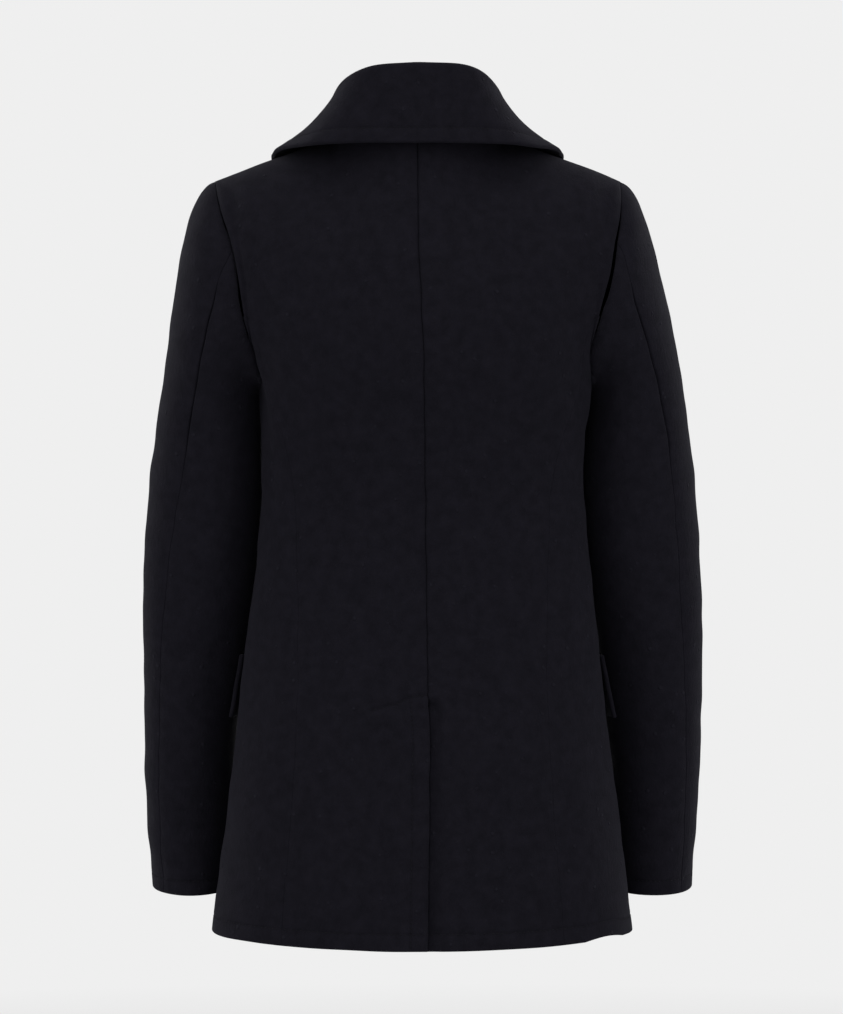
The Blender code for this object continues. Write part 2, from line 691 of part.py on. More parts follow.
def collar(tree):
    """The whole collar: a stand that rises from the neck seam, folded over into a wide fall."""
    rows = []
    for along in np.linspace(-1, 1, 2 * COLLAR_COLUMNS - 1):
        values = smooth(COLLAR, abs(along))
        side = -1 if along < 0 else 1
        roll, edge, spread_out = values[:3], values[3:6], values[6]
        seam = neck_seam(abs(along))
        rise = np.array((0, 0, 1.0))
        out = unit(roll - rise * roll[2])
        up = FOOT_RISE[0] + (FOOT_RISE[1] - FOOT_RISE[0]) * along * along
        foot = seam - out * FOOT_IN + rise * up
        row = []
        hinge = roll - rise * ROLL_RADIUS
        inner = hinge - out * ROLL_RADIUS
        for t in (0, 0.5):
            row.append(foot + (inner - foot) * t)
        for turn in np.linspace(0, pi, FOLD_STEPS + 1):
            row.append(hinge + ROLL_RADIUS * (rise * sin(turn) - out * cos(turn)))
        start = row[-1]
        for t in np.linspace(0, 1, FALL_STEPS + 1)[1:]:
            bend = start + (edge - start) * 0.5 - out * spread_out
            point = start * (1 - t) ** 2 + bend * 2 * t * (1 - t) + edge * t * t
            row.append(np.array(clear_of(tree, point, COLLAR_CLEAR)))
        rows.append([p * np.array((side, 1, 1)) for p in row])
    return wall("collar", np.array(rows), CLOTH, outward=-1)


def flap(side):
    """A pocket flap at the hip, standing off towards its rear lower corner."""
    name = "left" if side > 0 else "right"
    rows = []
    for down in np.linspace(0, 1, FLAP_ROWS):
        theta = -np.radians(np.linspace(FLAP_REAR, FLAP_FORE, FLAP_COLUMNS))
        height = np.full_like(theta, FLAP_TOP + (FLAP_BOTTOM - FLAP_TOP) * down)
        points = section(theta, height)
        turned = section(theta + 0.01, height) - points
        normal = unit(np.cross(turned, np.array((0, 0, 1.0))))
        rear = np.linspace(1, 0, FLAP_COLUMNS) ** 1.5
        lift = DOUBLE + FLAP_GAP + FLAP_FLARE[name] * down ** 1.3 * (0.25 + 0.75 * rear)
        rows.append(points + normal * lift[:, None])
    grid = mirror(np.array(rows)[::-1], side)
    return wall("flap_" + name, grid, CLOTH, outward=-side, thickness=DOUBLE)


def button(name, tree, x, z):
    """A four-hole button with a raised rim, lying on the front."""
    half = BUTTON_HEIGHT / 2
    profile = ((0.0, -half), (0.80, -half), (1.0, -half * 0.3), (0.97, half * 0.8),
               (0.86, half), (0.72, half * 0.45), (0.0, half * 0.35))
    shape = bmesh.new()
    points = [shape.verts.new((r * BUTTON_RADIUS, 0, h)) for r, h in profile]
    edges = [shape.edges.new(pair) for pair in zip(points, points[1:])]
    bmesh.ops.spin(shape, geom=points + edges, axis=(0, 0, 1), cent=(0, 0, 0), angle=2 * pi,
                   steps=BUTTON_SIDES, use_merge=True)
    bmesh.ops.remove_doubles(shape, verts=shape.verts, dist=0.00001)
    bmesh.ops.recalc_face_normals(shape, faces=shape.faces)
    disc = bpy.data.meshes.new(name)
    shape.to_mesh(disc)
    shape.free()
    cutter_shape = bmesh.new()
    for sx, sy in ((1, 1), (1, -1), (-1, 1), (-1, -1)):
        place = Matrix.Translation((sx * HOLE_SPREAD, sy * HOLE_SPREAD, 0))
        bmesh.ops.create_cone(cutter_shape, cap_ends=True, segments=6, radius1=HOLE_RADIUS,
                              radius2=HOLE_RADIUS, depth=BUTTON_HEIGHT * 2, matrix=place)
    holes = bpy.data.meshes.new(name + "_holes")
    cutter_shape.to_mesh(holes)
    cutter_shape.free()
    piece = bpy.data.objects.new(name, disc)
    cutter = bpy.data.objects.new(name + "_holes", holes)
    for made in (piece, cutter):
        bpy.context.scene.collection.objects.link(made)
    cutter.hide_render = True
    cutter.display_type = "WIRE"
    cutter.parent = piece
    cut = piece.modifiers.new("holes", "BOOLEAN")
    cut.operation = "DIFFERENCE"
    cut.object = cutter
    disc.materials.append(material(name, *HORN))
    seat = on_front(tree, x, z, 0)
    facing = on_front(tree, x, z, 1) - seat
    piece.rotation_mode = "QUATERNION"
    piece.rotation_quaternion = facing.to_track_quat("Z", "Y")
    piece.location = seat + facing * (half + BUTTON_GAP)
    return piece


def build():
    for old in list(bpy.data.objects):
        bpy.data.objects.remove(old)
    tree = body_tree()
    for side in (1, -1):
        back(side)
        side_panel(side)
        front(side)
        sleeve(side, True)
        sleeve(side, False)
        flap(side)
        lapel(side, tree)
    collar(tree)
    spots = [(x, z) for x in (-BUTTON_X, BUTTON_X) for z in BUTTON_Z]
    for number, (x, z) in enumerate(spots, 1):
        button(f"button_{number}", tree, x, z)


build()
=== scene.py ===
"""Looks of the pea coat: heavy navy melton with its seams, edges, topstitching and soft creases.

Metres, +Z up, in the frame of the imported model. The front faces -Y and the wearer's left is +X.
Every piece of cloth is a closed shell over a fine grid on the same surface as its solid.
"""
import bpy
import bmesh
import numpy as np
from math import pi, radians
from mathutils import Matrix, Vector
from mathutils.bvhtree import BVHTree


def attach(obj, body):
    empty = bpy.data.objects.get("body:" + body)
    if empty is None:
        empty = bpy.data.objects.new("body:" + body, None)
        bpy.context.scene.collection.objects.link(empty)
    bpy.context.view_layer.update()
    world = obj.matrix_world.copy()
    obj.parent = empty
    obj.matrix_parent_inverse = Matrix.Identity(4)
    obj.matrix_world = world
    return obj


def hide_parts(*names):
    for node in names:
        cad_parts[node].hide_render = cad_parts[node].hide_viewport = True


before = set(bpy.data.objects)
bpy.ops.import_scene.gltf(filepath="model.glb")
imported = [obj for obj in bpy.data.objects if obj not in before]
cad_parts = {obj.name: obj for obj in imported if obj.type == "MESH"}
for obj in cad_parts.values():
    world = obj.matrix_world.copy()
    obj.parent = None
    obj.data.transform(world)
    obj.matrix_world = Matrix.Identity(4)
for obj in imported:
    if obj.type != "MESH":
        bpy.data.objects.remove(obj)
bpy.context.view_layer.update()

# ---- sizes shared with the solids ----
WALL = 0.0026           # thickness of the cloth
DOUBLE = 0.0044         # two layers of cloth sewn together
LAYER_GAP = 0.0004
LAP = DOUBLE + LAYER_GAP        # from an under layer's outer face to that of the layer over it
HEM = -0.738
ARMPIT = -0.237
SIDE_Y = 0.010          # y of the widest line of the body
HEM_RISE = 0.0042       # how much higher the hem lies at the sides
HEM_RISES_BELOW = -0.660       # height below which that sets in
TORSO = (
    # height, half_width, back, front, exponent of the oval
    (-0.738, 0.1930, 0.130, -0.140, 2.00),
    (-0.690, 0.1880, 0.126, -0.138, 2.05),
    (-0.615, 0.1790, 0.119, -0.134, 2.10),
    (-0.523, 0.1675, 0.109, -0.127, 2.15),
    (-0.450, 0.1595, 0.099, -0.121, 2.20),
    (-0.385, 0.1520, 0.091, -0.118, 2.25),
    (-0.324, 0.1470, 0.088, -0.122, 2.30),
    (-0.270, 0.1495, 0.097, -0.136, 2.35),
    (-0.237, 0.1520, 0.104, -0.142, 2.40),
)
TIP = radians(42)       # angles at the armpit's height: armhole, shoulder seam, neck, roll line
NECK = radians(71)
BREAK = radians(113)
FRONT_EDGE = 0.070      # how far a front reaches past the centre front
SHOULDER_POINT = (0.0705, -0.005, 0.000)
SHOULDER_TIP = (0.1875, -0.010, -0.045)
NAPE = (0.0, 0.062, 0.010)
ARMHOLE_RISE = 0.0935
ARMHOLE_BACK = 0.062
ARMHOLE_FRONT = 0.066
ARMHOLE_MID = -0.1385
ARMHOLE_Y = -0.001
ARMHOLE_SWAY = 0.009
ARMHOLE = (
    # angle from the top, x at the back, x at the front
    (0, 0.1875, 0.1875),
    (35, 0.1830, 0.1790),
    (70, 0.1740, 0.1650),
    (100, 0.1650, 0.1580),
    (130, 0.1540, 0.1540),
    (155, 0.1505, 0.1515),
    (180, 0.1515, 0.1515),
)
NECK_EDGE = (
    # along, x, y, z
    (0.00, 0.0705, -0.005, 0.000),
    (0.15, 0.0700, -0.045, -0.024),
    (0.32, 0.0590, -0.083, -0.060),
    (0.50, 0.0260, -0.108, -0.104),
    (0.75, -0.0230, -0.130, -0.162),
    (1.00, -0.0695, -0.1316, -0.220),
)
ARRIVAL = (
    # angle at the back, direction of the cloth at its top edge
    (0, 0.00, 0.00, 1.00),
    (12, 0.30, -0.45, 0.84),
    (26, 0.55, -0.80, 0.22),
    (37, 0.45, -0.86, -0.24),
    (42, 0.30, -0.93, -0.20),
    (48, 0.00, -1.00, -0.05),
    (62, 0.00, -1.00, 0.10),
    (71, 0.00, -0.85, 0.50),
    (80, 0.00, -0.50, 0.87),
    (92, 0.00, -0.38, 0.92),
)
FRONT_ARRIVAL = (
    # angle at the front, direction of the cloth at its top edge
    (0, 0.00, 0.00, 1.00),
    (12, 0.32, 0.35, 0.88),
    (26, 0.75, 0.52, 0.28),
    (37, 0.62, 0.66, -0.32),
    (42, 0.45, 0.84, -0.25),
    (48, 0.00, 1.00, -0.03),
    (62, 0.00, 1.00, 0.10),
    (71, 0.00, 0.85, 0.50),
    (80, 0.00, 0.50, 0.87),
    (113, 0.00, 0.38, 0.92),
)
RISE_PULL = 0.36        # share of a rise that each end's direction holds
SLOPE_STEP = 0.01       # way over which the cloth's slope is taken
ROUNDING = radians(9)   # to both sides, for the corners of the top edge as the cloth follows it
ROUNDING_SAMPLES = 9    # points of that reach whose mean is taken
ROUNDED_TO = (0.80, 1.0)        # shares of the rise between which the edge's true line takes over
LEAN = 0.0045           # how far the top of the coat leans to its left,
LEAN_RANGE = (-0.235, -0.090)           # and the heights between which that sets in
CENTRE_BACK = (
    # height, x of the centre-back seam
    (-0.738, -0.0035),
    (-0.523, -0.0050),
    (-0.450, -0.0040),
    (-0.237, -0.0015),
)
SIDE_BACK = (
    # height, angle of the seam between back and side panel
    (-0.738, 49.0),
    (-0.610, 50.0),
    (-0.500, 49.0),
    (-0.430, 46.5),
    (-0.360, 42.5),
    (-0.320, 39.0),
    (-0.285, 34.0),
    (-0.260, 28.0),
    (-0.237, 22.0),
)
SIDE_FRONT = (
    # height, angle of the seam between side panel and front
    (-0.738, 30.0),
    (-0.500, 28.0),
    (-0.330, 25.0),
    (-0.237, 16.0),
)
HIND_ARM = (
    # height, angles round the left and right sleeve from the outer side to the back
    (-0.700, 47.0, 47.0),
    (-0.560, 51.0, 51.0),
    (-0.430, 55.5, 55.0),
    (-0.360, 63.0, 56.0),
    (-0.320, 69.0, 57.5),
    (-0.265, 73.0, 59.5),
    (-0.243, 76.0, 64.0),
    (-0.227, 80.0, 70.0),
    (-0.205, 85.0, 75.0),
    (-0.185, 87.0, 77.5),
    (-0.165, 84.5, 75.5),
    (-0.150, 79.0, 71.5),
    (-0.140, 74.0, 70.0),
)
FORE_ARM = -122.0
HIND_RISE = 0.110
VENT_SEAM = -0.512
VENT_TOP = -0.522
VENT_BAND = (-0.532, -0.506)    # heights with closer rows, for the bar of stitches
VENT_BAR = (
    # x, height of the bar across the vent's upper end
    (-0.0058, -0.5120),
    (0.0111, -0.5141),
    (0.0236, -0.5203),
    (0.0378, -0.5239),
    (0.0476, -0.5266),
)
BAR_FADE = (0.001, 0.002)       # how far to its left and right each end fades
BAR_RELIEF = (
    # height (a groove is negative), how far below the bar, width
    (-0.0013, 0.0, 0.0017),
    (0.0006, 0.006, 0.0045),
)
VENT_STITCH_TOP = -0.514
VENT_EDGE = -0.531
VENT_COVER = 0.001
VENT_WIDTH = 0.040      # how far the underlap reaches past the centre-back seam,
UNDERLAP_TUCK = 0.0015  # and how far it reaches below the right back
UNDERLAP_TOP = VENT_TOP - 0.001
UNDERLAP_NEXT = 0.75    # share of a cell between its hem's lines and the first even row
BACK_STEP = (0.0065, 0.0150)    # distances from the seam between which the vent's step rises
STEP_START = 0.0035     # the left front's step begins this far beside the right front's edge
STEP_LENGTH = 0.0110    # and rises over this way,
STEP_WIDER = 0.0270     # but this much farther out above the heights of STEP_TURN
STEP_TURN = (-0.250, -0.210)
STEP_REACH = 0.0200     # height over which the right front's face is looked for
STEP_MARGIN = 0.0020    # and how far inside its edge at least
SLEEVE = (
    # height, x, y, half_width, half_depth
    (-0.700, 0.2145, -0.0640, 0.0385, 0.0490),
    (-0.640, 0.2155, -0.0560, 0.0410, 0.0480),
    (-0.560, 0.2165, -0.0450, 0.0428, 0.0480),
    (-0.500, 0.2134, -0.0370, 0.0466, 0.0490),
    (-0.430, 0.2072, -0.0280, 0.0515, 0.0500),
    (-0.320, 0.2002, -0.0230, 0.0525, 0.0575),
    (-0.250, 0.1964, -0.0180, 0.0460, 0.0630),
)
BICEPS = -0.250
CUFF = -0.700
CUFF_TILT = 0.10        # how much lower the cuff is behind, as a share of its depth,
CUFF_TILTS_BELOW = -0.430       # and the height below which that sets in
CAP_REACH = 0.030       # how far the armhole's direction holds at most, and as shares of the
CAP_PULL = 0.3          # head's length how far it holds
SLEEVE_PULL = 0.5       # and the sleeve's direction does
CAP_TOP = 0.075         # the lines beside the armhole begin here, and the rest have even steps
CAP_CELL = 0.021
DEPARTURE = (
    # angle from the top of the armhole, direction of the sleeve there
    (0, 0.96, 0.00, -0.28),
    (90, 0.75, 0.25, -0.60),
    (150, 0.45, 0.05, -0.88),
    (180, 0.12, 0.00, -1.00),
)
COLLAR = (
    # along, roll x, y, z, edge x, y, z, spread of the fall's lower part
    (0.00, 0.000, 0.079, 0.0545, 0.000, 0.087, -0.0185, 0.000),
    (0.25, 0.044, 0.069, 0.0525, 0.074, 0.080, -0.0180, 0.003),
    (0.45, 0.065, 0.044, 0.0440, 0.107, 0.056, -0.0170, 0.008),
    (0.62, 0.076, 0.008, 0.0300, 0.132, 0.008, -0.0165, 0.011),
    (0.82, 0.079, -0.038, 0.0040, 0.132, -0.045, -0.0370, 0.007),
    (1.00, 0.070, -0.080, -0.0440, 0.125, -0.078, -0.063, 0.002),
)
COLLAR_SPLIT = 0.62
COLLAR_FORE = 0.30
FOOT_IN = WALL * 0.9
FOOT_RISE = (0.0018, 0.0043)
ROLL_RADIUS = 0.0046
LAPEL_ROLL = 0.0046     # the same where a lapel turns over the front's edge,
LAPEL_TURN = pi * 0.9   # and how far it turns
COLLAR_CLEAR = 0.0056
ROLL = (
    # up the lapel from its lower end, x and z of the fold, x and z of the outer edge
    (0.00, 0.0640, -0.2230, 0.0450, -0.2270),
    (0.35, 0.0265, -0.1715, -0.0430, -0.1930),
    (0.70, -0.0280, -0.1060, -0.1120, -0.1330),
    (1.00, -0.0635, -0.0560, -0.1400, -0.0940),
)
NOTCH_RISE = 0.0140
LEFT_LAPEL = (0.62, 0.38)       # how far up it is hidden, at its fold and at its edge
LAPEL_LIFT = 0.0011
FOLD_LIFT = 0.0030
LAPEL_OUT = (0.25, -0.90, 0.35)
FLAP_TOP = -0.481
FLAP_BOTTOM = -0.538
FLAP_REAR = 2.0
FLAP_FORE = 58.0
FLAP_GAP = 0.0007
FLAP_FLARE = {"left": 0.0038, "right": 0.0052}
FLAP_FLARE_FORE = 0.25  # share of that at the flap's front end
FLAP_BENDS = (1.5, 1.3)         # powers by which it grows to the rear and downwards
FLAP_PROBE = 0.01       # angle over which the body's slope below it is taken
BUTTON_RADIUS = 0.0140
BUTTON_HEIGHT = 0.0045
BUTTON_GAP = 0.0007
BUTTON_X = 0.052
BUTTON_Z = (-0.265, -0.370, -0.475)
BUTTON_PROFILE = (
    # share of the radius, share of half the height, from the middle of the back over the rim
    (0.0, -1.0), (0.80, -1.0), (0.93, -0.8), (1.0, -0.25), (1.0, 0.25), (0.97, 0.75),
    (0.92, 0.97), (0.86, 1.0), (0.80, 0.93), (0.74, 0.60), (0.68, 0.45), (0.0, 0.35),
)
HOLE_RADIUS = 0.0011
HOLE_SPREAD = 0.0028
HOLE_SIDES = 16
SHARP = radians(50)     # angle from which a button's edges stay sharp

# ---- fineness, seams and stitching ----
CELL = 0.0032           # usual distance between grid lines
FINE_CELL = 0.0011      # and beside the vent's bar of stitches
LAPEL_CELLS = (0.0022, 0.0026)          # the same across and along these pieces
COLLAR_CELLS = (0.0026, 0.0036)
FLAP_CELLS = (0.0024, 0.0022)
LAPEL_ROWS = 48         # of the rough grids that these are spaced from
LAPEL_COLUMNS = 40
COLLAR_ROWS = 121
COLLAR_STEPS = (9, 13, 31)      # lines up the stand, round the roll and down the fall
FLAP_ROWS = 30
FLAP_COLUMNS = 50
LAPEL_TAUT = 150        # passes that bridge a lapel's dents
LAPEL_SOFT = 6          # and that soften it
COLLAR_SOFT = 8
LAPEL_STEPS = 10        # lines round its roll
SAMPLES = 120           # points of a row by which its length is measured
PROBES = 40             # and of a line that is looked at roughly
BODY_ROWS = (70, 60)    # of the body as a search tree, below and above the armpit
BODY_COLUMNS = 200
BAR_POINTS = 60
BAND_MARGIN = 0.001     # height beside a finer band from which other rows are left out
SQUEEZE = 0.45          # share of a short row that the close lines at one end may take
EDGE_LINES = (0.0, 0.0003, 0.0008, 0.0014, 0.0022, 0.0034, 0.0050)   # distances from an edge
STITCH_LINES = (-0.0016, -0.0008, 0.0, 0.0008, 0.0016)               # and from a line of stitches
LINE_GAP = 0.0004       # least distance between these
NEXT_LINE = 0.6         # share of a cell between these and the first even line
SEAM_ROUND = 0.0009     # radius with which the cloth turns into a seam
SEAM_SINK = 0.0005      # how much the pressed cloth beside a seam is lower
SEAM_SINK_WIDTH = 0.0055
SEAM_PUCKER = 0.35      # share by which that varies
SEAM_TURN = 0.0016      # how much deeper than the wall a seam's turned edge reaches
SEAM_TURN_WIDTH = 0.0022
SEAM_REACH = 0.00025    # how far a sewn edge reaches past its line
CENTRE_ROUND = 0.0026   # that radius at the centre-back seam, which is a deep one
FLAT_ROUND = 0.0005     # at the seams beside the side panels, which are pressed flat
ARM_ROUND = 0.0030      # at the lower half of the armhole, and half as much above
ARM_ROUND_ENDS = 0.0004     # at its top and below the arm
ARM_ROUND_BELOW = (-0.226, -0.190)      # heights between which it grows,
ARM_ROUND_MIDDLE = (-0.118, -0.165)     # is halved
ARM_ROUND_ABOVE = (-0.052, -0.090)      # and fades
ARM_ROUND_BEHIND = (0.005, 0.035)       # y between which it sets in, for it is deep at the back
UNDERARM_TUCK = 0.0013  # how far the sleeve is drawn in to the body at the foot of the armhole
UNDERARM = (radians(115), radians(160))     # angles from its top between which that sets in
HIND_ROUND = 0.0030     # at the hind-arm seam where the arm strains it
HIND_ROUND_BELOW = (-0.315, -0.275)     # heights between which that grows
HIND_ROUND_ABOVE = (-0.140, -0.165)     # and fades
HEM_STITCH = 0.0150     # distance of the topstitching from the hem, the vent and the front edge
COLLAR_STITCH = 0.0140
LAPEL_STITCH = 0.0060
FLAP_STITCH = 0.0065
FLAP_ROUND = 0.0006     # radius with which a flap turns into its seam
CUFF_STITCH = 0.0140
STITCH_SINK = 0.0008
STITCH_PUCKER = 0.45    # share by which that varies
STITCH_WIDTH = 0.0014
SWELL = 0.0004          # how much the cloth swells between the stitches and the edge,
SWELL_PLACE = 0.0055    # this far from the stitches
SWELL_WIDTH = 0.0050
STITCH_PITCH = 0.0040
STITCH_LENGTH = 0.0029
STITCH_RADIUS = 0.00030
STITCH_POINTS = 5
STITCH_BOW = (1.5, 3.2)         # height of its middle in radii, and how much lower its ends are
TAPER = 1.06            # a thread's section at its middle, of which 1 is gone at its ends
BUTTON_SIDES = 64
THREAD_RADIUS = 0.00042
HEM_FOLD = 0.032        # width of the turned-up cloth along a free edge, which is thicker
FOLD_FADE = 0.008       # and the width over which that ends
RIM_SHARE = 0.93        # share of half the thickness by which a free edge's rim is rounded
VENT_EASE = 0.004       # height to both sides of the vent's upper end over which it opens
TOP_SHARE = 0.035       # share of a rise that is left to the lines beside the top edge,
TOP_USED = 0.9          # and the share of that which they use

# ---- colours, floor and camera ----
WOOL_DARK = (0.0043, 0.0040, 0.0060)
WOOL_LIGHT = (0.0066, 0.0061, 0.0091)
WOOL_FLECK = (0.0150, 0.0145, 0.0210)
WOOL_SHEEN = (0.62, 0.62, 0.80)
HORN_TONES = ((0.0045, 0.0045, 0.0065), (0.0125, 0.0115, 0.0135))
# tonal navy of the thread, set darker than the wool as painted shade where the stitches sink in
THREAD_AND_PAINTED_SHADE_TONES = ((0.0030, 0.0029, 0.0042), (0.0060, 0.0057, 0.0084))
FLOOR_TONES = ((0.60, 0.60, 0.605), (0.62, 0.62, 0.625))
SPOT_FADE = 2.4         # a spot's outer radius in inner radii
PAPER = 0.863           # the pale grey of the backdrop and the light that comes from all round
FLOOR = -1.400
FLOOR_RADIUS = 6.0
FLOOR_FADE = (1.5, 4.5)         # distances between which it fades into the backdrop
CAMERA = (0.0009, 3.2, -0.345)
LENS = 123.4885
SIDE = {1: "left", -1: "right"}         # the wearer's side for a sign of x


# ---- reading tables ----
def smooth(rows, keys):
    """The columns after the first of a table, read at keys on a smooth curve through its rows."""
    table = np.array(rows)
    slope = np.gradient(table[:, 1:], table[:, 0], axis=0)
    keys = np.clip(np.asarray(keys, float), table[0, 0], table[-1, 0])
    low = np.clip(np.searchsorted(table[:, 0], keys) - 1, 0, len(table) - 2)
    step = (table[low + 1, 0] - table[low, 0])[..., None]
    t = (keys - table[low, 0])[..., None] / step
    a, b = table[low, 1:], table[low + 1, 1:]
    ease = t * t * (3 - 2 * t)
    return (a + (b - a) * ease + step * slope[low] * t * (1 - t) ** 2
            - step * slope[low + 1] * t * t * (1 - t))


def ramp(value, start, end):
    """0 at start, 1 at end, soft at both."""
    t = np.clip((value - start) / (end - start), 0, 1)
    return t * t * (3 - 2 * t)


def power(value, exponent):
    return np.sign(value) * np.abs(value) ** exponent


def unit(vectors):
    return vectors / np.maximum(np.linalg.norm(vectors, axis=-1, keepdims=True), 1e-12)


def bezier(a, b, c, d, t):
    s = 1 - t
    return a * s ** 3 + 3 * b * s * s * t + 3 * c * s * t * t + d * t ** 3


# ---- the body's surface, as in the solids ----
def section(theta, height):
    """Points of the body below the armpit; theta > 0 is the back, theta < 0 the front."""
    half, back, front, square = np.moveaxis(smooth(TORSO, height), -1, 0)
    depth = np.where(theta > 0, back - SIDE_Y, SIDE_Y - front)
    x = half * power(np.cos(theta), 2 / square)
    y = SIDE_Y + depth * power(np.sin(theta), 2 / square)
    lift = HEM_RISE * ramp(height, HEM_RISES_BELOW, HEM) * np.cos(theta) ** 2
    return np.stack((x, y, height + lift), -1)


def angle_at(x, height):
    """The angle, 0 to 180 degrees, at which a section has this x."""
    half, _, _, square = np.moveaxis(smooth(TORSO, height), -1, 0)
    return np.arccos(power(x / half, square / 2))


def armhole(phi):
    """The armhole's edge; phi runs from its top over the back (phi > 0) or the front (phi < 0)."""
    x = smooth(ARMHOLE, np.degrees(np.abs(phi)))
    reach = np.where(phi > 0, ARMHOLE_BACK, ARMHOLE_FRONT)
    y = ARMHOLE_Y - ARMHOLE_SWAY * np.cos(phi) + reach * np.sin(phi)
    z = ARMHOLE_MID + ARMHOLE_RISE * np.cos(phi)
    return np.stack((np.where(phi > 0, x[..., 0], x[..., 1]), y, z), -1)


def top_edge(theta):
    """Where the cloth ends at the top: armhole, shoulder seam, then neck or roll line."""
    size = np.abs(theta)
    sign = np.where(theta < 0, -1.0, 1.0)
    phi = sign * pi * (1 - np.clip(size / TIP, 0, 1) ** 1.5)
    hole = armhole(phi)
    along = np.clip((size - TIP) / (NECK - TIP), 0, 1)[..., None]
    shoulder = np.array(SHOULDER_TIP) * (1 - along) + np.array(SHOULDER_POINT) * along
    turn = np.maximum((size - NECK) / (pi / 2 - NECK), 0)[..., None] * pi / 2
    point, nape = np.array(SHOULDER_POINT), np.array(NAPE)
    back = np.concatenate((point[:1] * np.cos(turn),
                           point[1:] + (nape[1:] - point[1:]) * np.sin(turn)), -1)
    front = smooth(NECK_EDGE, (size - NECK) / (BREAK - NECK))
    neck = np.where(theta[..., None] > 0, back, front)
    upper = np.where(size[..., None] > NECK, neck, shoulder)
    return np.where(size[..., None] < TIP, hole, upper)


def arrival(theta):
    """The direction in which the cloth reaches its top edge."""
    size = np.degrees(np.abs(theta))
    return np.where(theta[..., None] < 0, smooth(FRONT_ARRIVAL, size), smooth(ARRIVAL, size))


def rounded(edge, theta):
    """An edge's values with its corners rounded, as the cloth below it lies."""
    reach = ROUNDING * np.clip((BREAK - np.abs(theta)) / ROUNDING, 0, 1)
    shares = np.linspace(-1, 1, ROUNDING_SAMPLES)
    return sum(edge(theta + share * reach) for share in shares) / len(shares)


def torso(theta, height, rise):
    """The outer face of the body: sections up to the armpit, then rises to the top edge."""
    low = section(theta, height)
    start, below = section(theta, ARMPIT), section(theta, ARMPIT - SLOPE_STEP)
    exact = ramp(rise, *ROUNDED_TO)[..., None]
    end = rounded(top_edge, theta) * (1 - exact) + top_edge(theta) * exact
    length = np.linalg.norm(end - start, axis=-1, keepdims=True) * RISE_PULL
    ahead = unit(rounded(arrival, theta))
    high = bezier(start, start + length * unit(start - below), end - length * ahead, end,
                  rise[..., None])
    return np.where(rise[..., None] > 0, high, low)


def seam_x(height):
    return smooth(CENTRE_BACK, height)[..., 0]


def seam_angle(table, height):
    return np.radians(smooth(table, height)[..., 0])


def face_normals(grid):
    """Unit normals of a grid of points, along the cross product of its rows and columns."""
    across = np.gradient(grid, axis=1, edge_order=2)
    return unit(np.cross(across, np.gradient(grid, axis=0, edge_order=2)))


def mirror(grid, side):
    return grid * np.array((side, 1, 1))


# ---- fine grids ----
def lines_near(stitch=None):
    """Distances of the fine grid lines beside an edge, with those beside its topstitching."""
    fine = np.array(EDGE_LINES)
    if stitch is None:
        return fine
    beside = stitch + np.array(STITCH_LINES)
    return np.concatenate((fine[fine < beside[0] - LINE_GAP], beside))


def between(low, high, marks=(), cell=CELL):
    """Evenly spaced values from low to high with a value at each mark."""
    stops = [low, *[m for m in sorted(marks) if low < m < high], high]
    parts = [np.linspace(a, b, max(2, int(np.ceil((b - a) / cell)) + 1))[:-1]
             for a, b in zip(stops, stops[1:])]
    return np.concatenate((*parts, [high]))


def way_along(grid):
    """How far each point of a grid is along its row."""
    steps = np.linalg.norm(np.diff(grid, axis=1), axis=-1)
    return np.concatenate((np.zeros((len(grid), 1)), np.cumsum(steps, 1)), 1)


def spread(evaluate, rows, first, last, marks=()):
    """Column positions, 0 to 1, for each row: close beside both ends, even between.

    first and last are distances of lines from the two ends, and marks are places to hit.
    """
    dense = np.linspace(0, 1, SAMPLES)
    reached = way_along(evaluate(np.repeat(dense[None], rows, 0)))
    left = np.array([np.interp(first, row, dense) for row in reached])
    right = np.array([np.interp(row[-1] - last[::-1], row, dense) for row in reached])
    cell = CELL / reached[:, -1].mean()
    low, high = left[:, -1].max() + cell * NEXT_LINE, right[:, 0].min() - cell * NEXT_LINE
    middle = between(low, high, marks, cell)
    return np.concatenate((left, np.repeat(middle[None], rows, 0), right), 1)


def rise_length(theta):
    """The straight way from the armpit's height to the top edge."""
    return np.linalg.norm(top_edge(theta) - section(theta, ARMPIT), axis=-1)


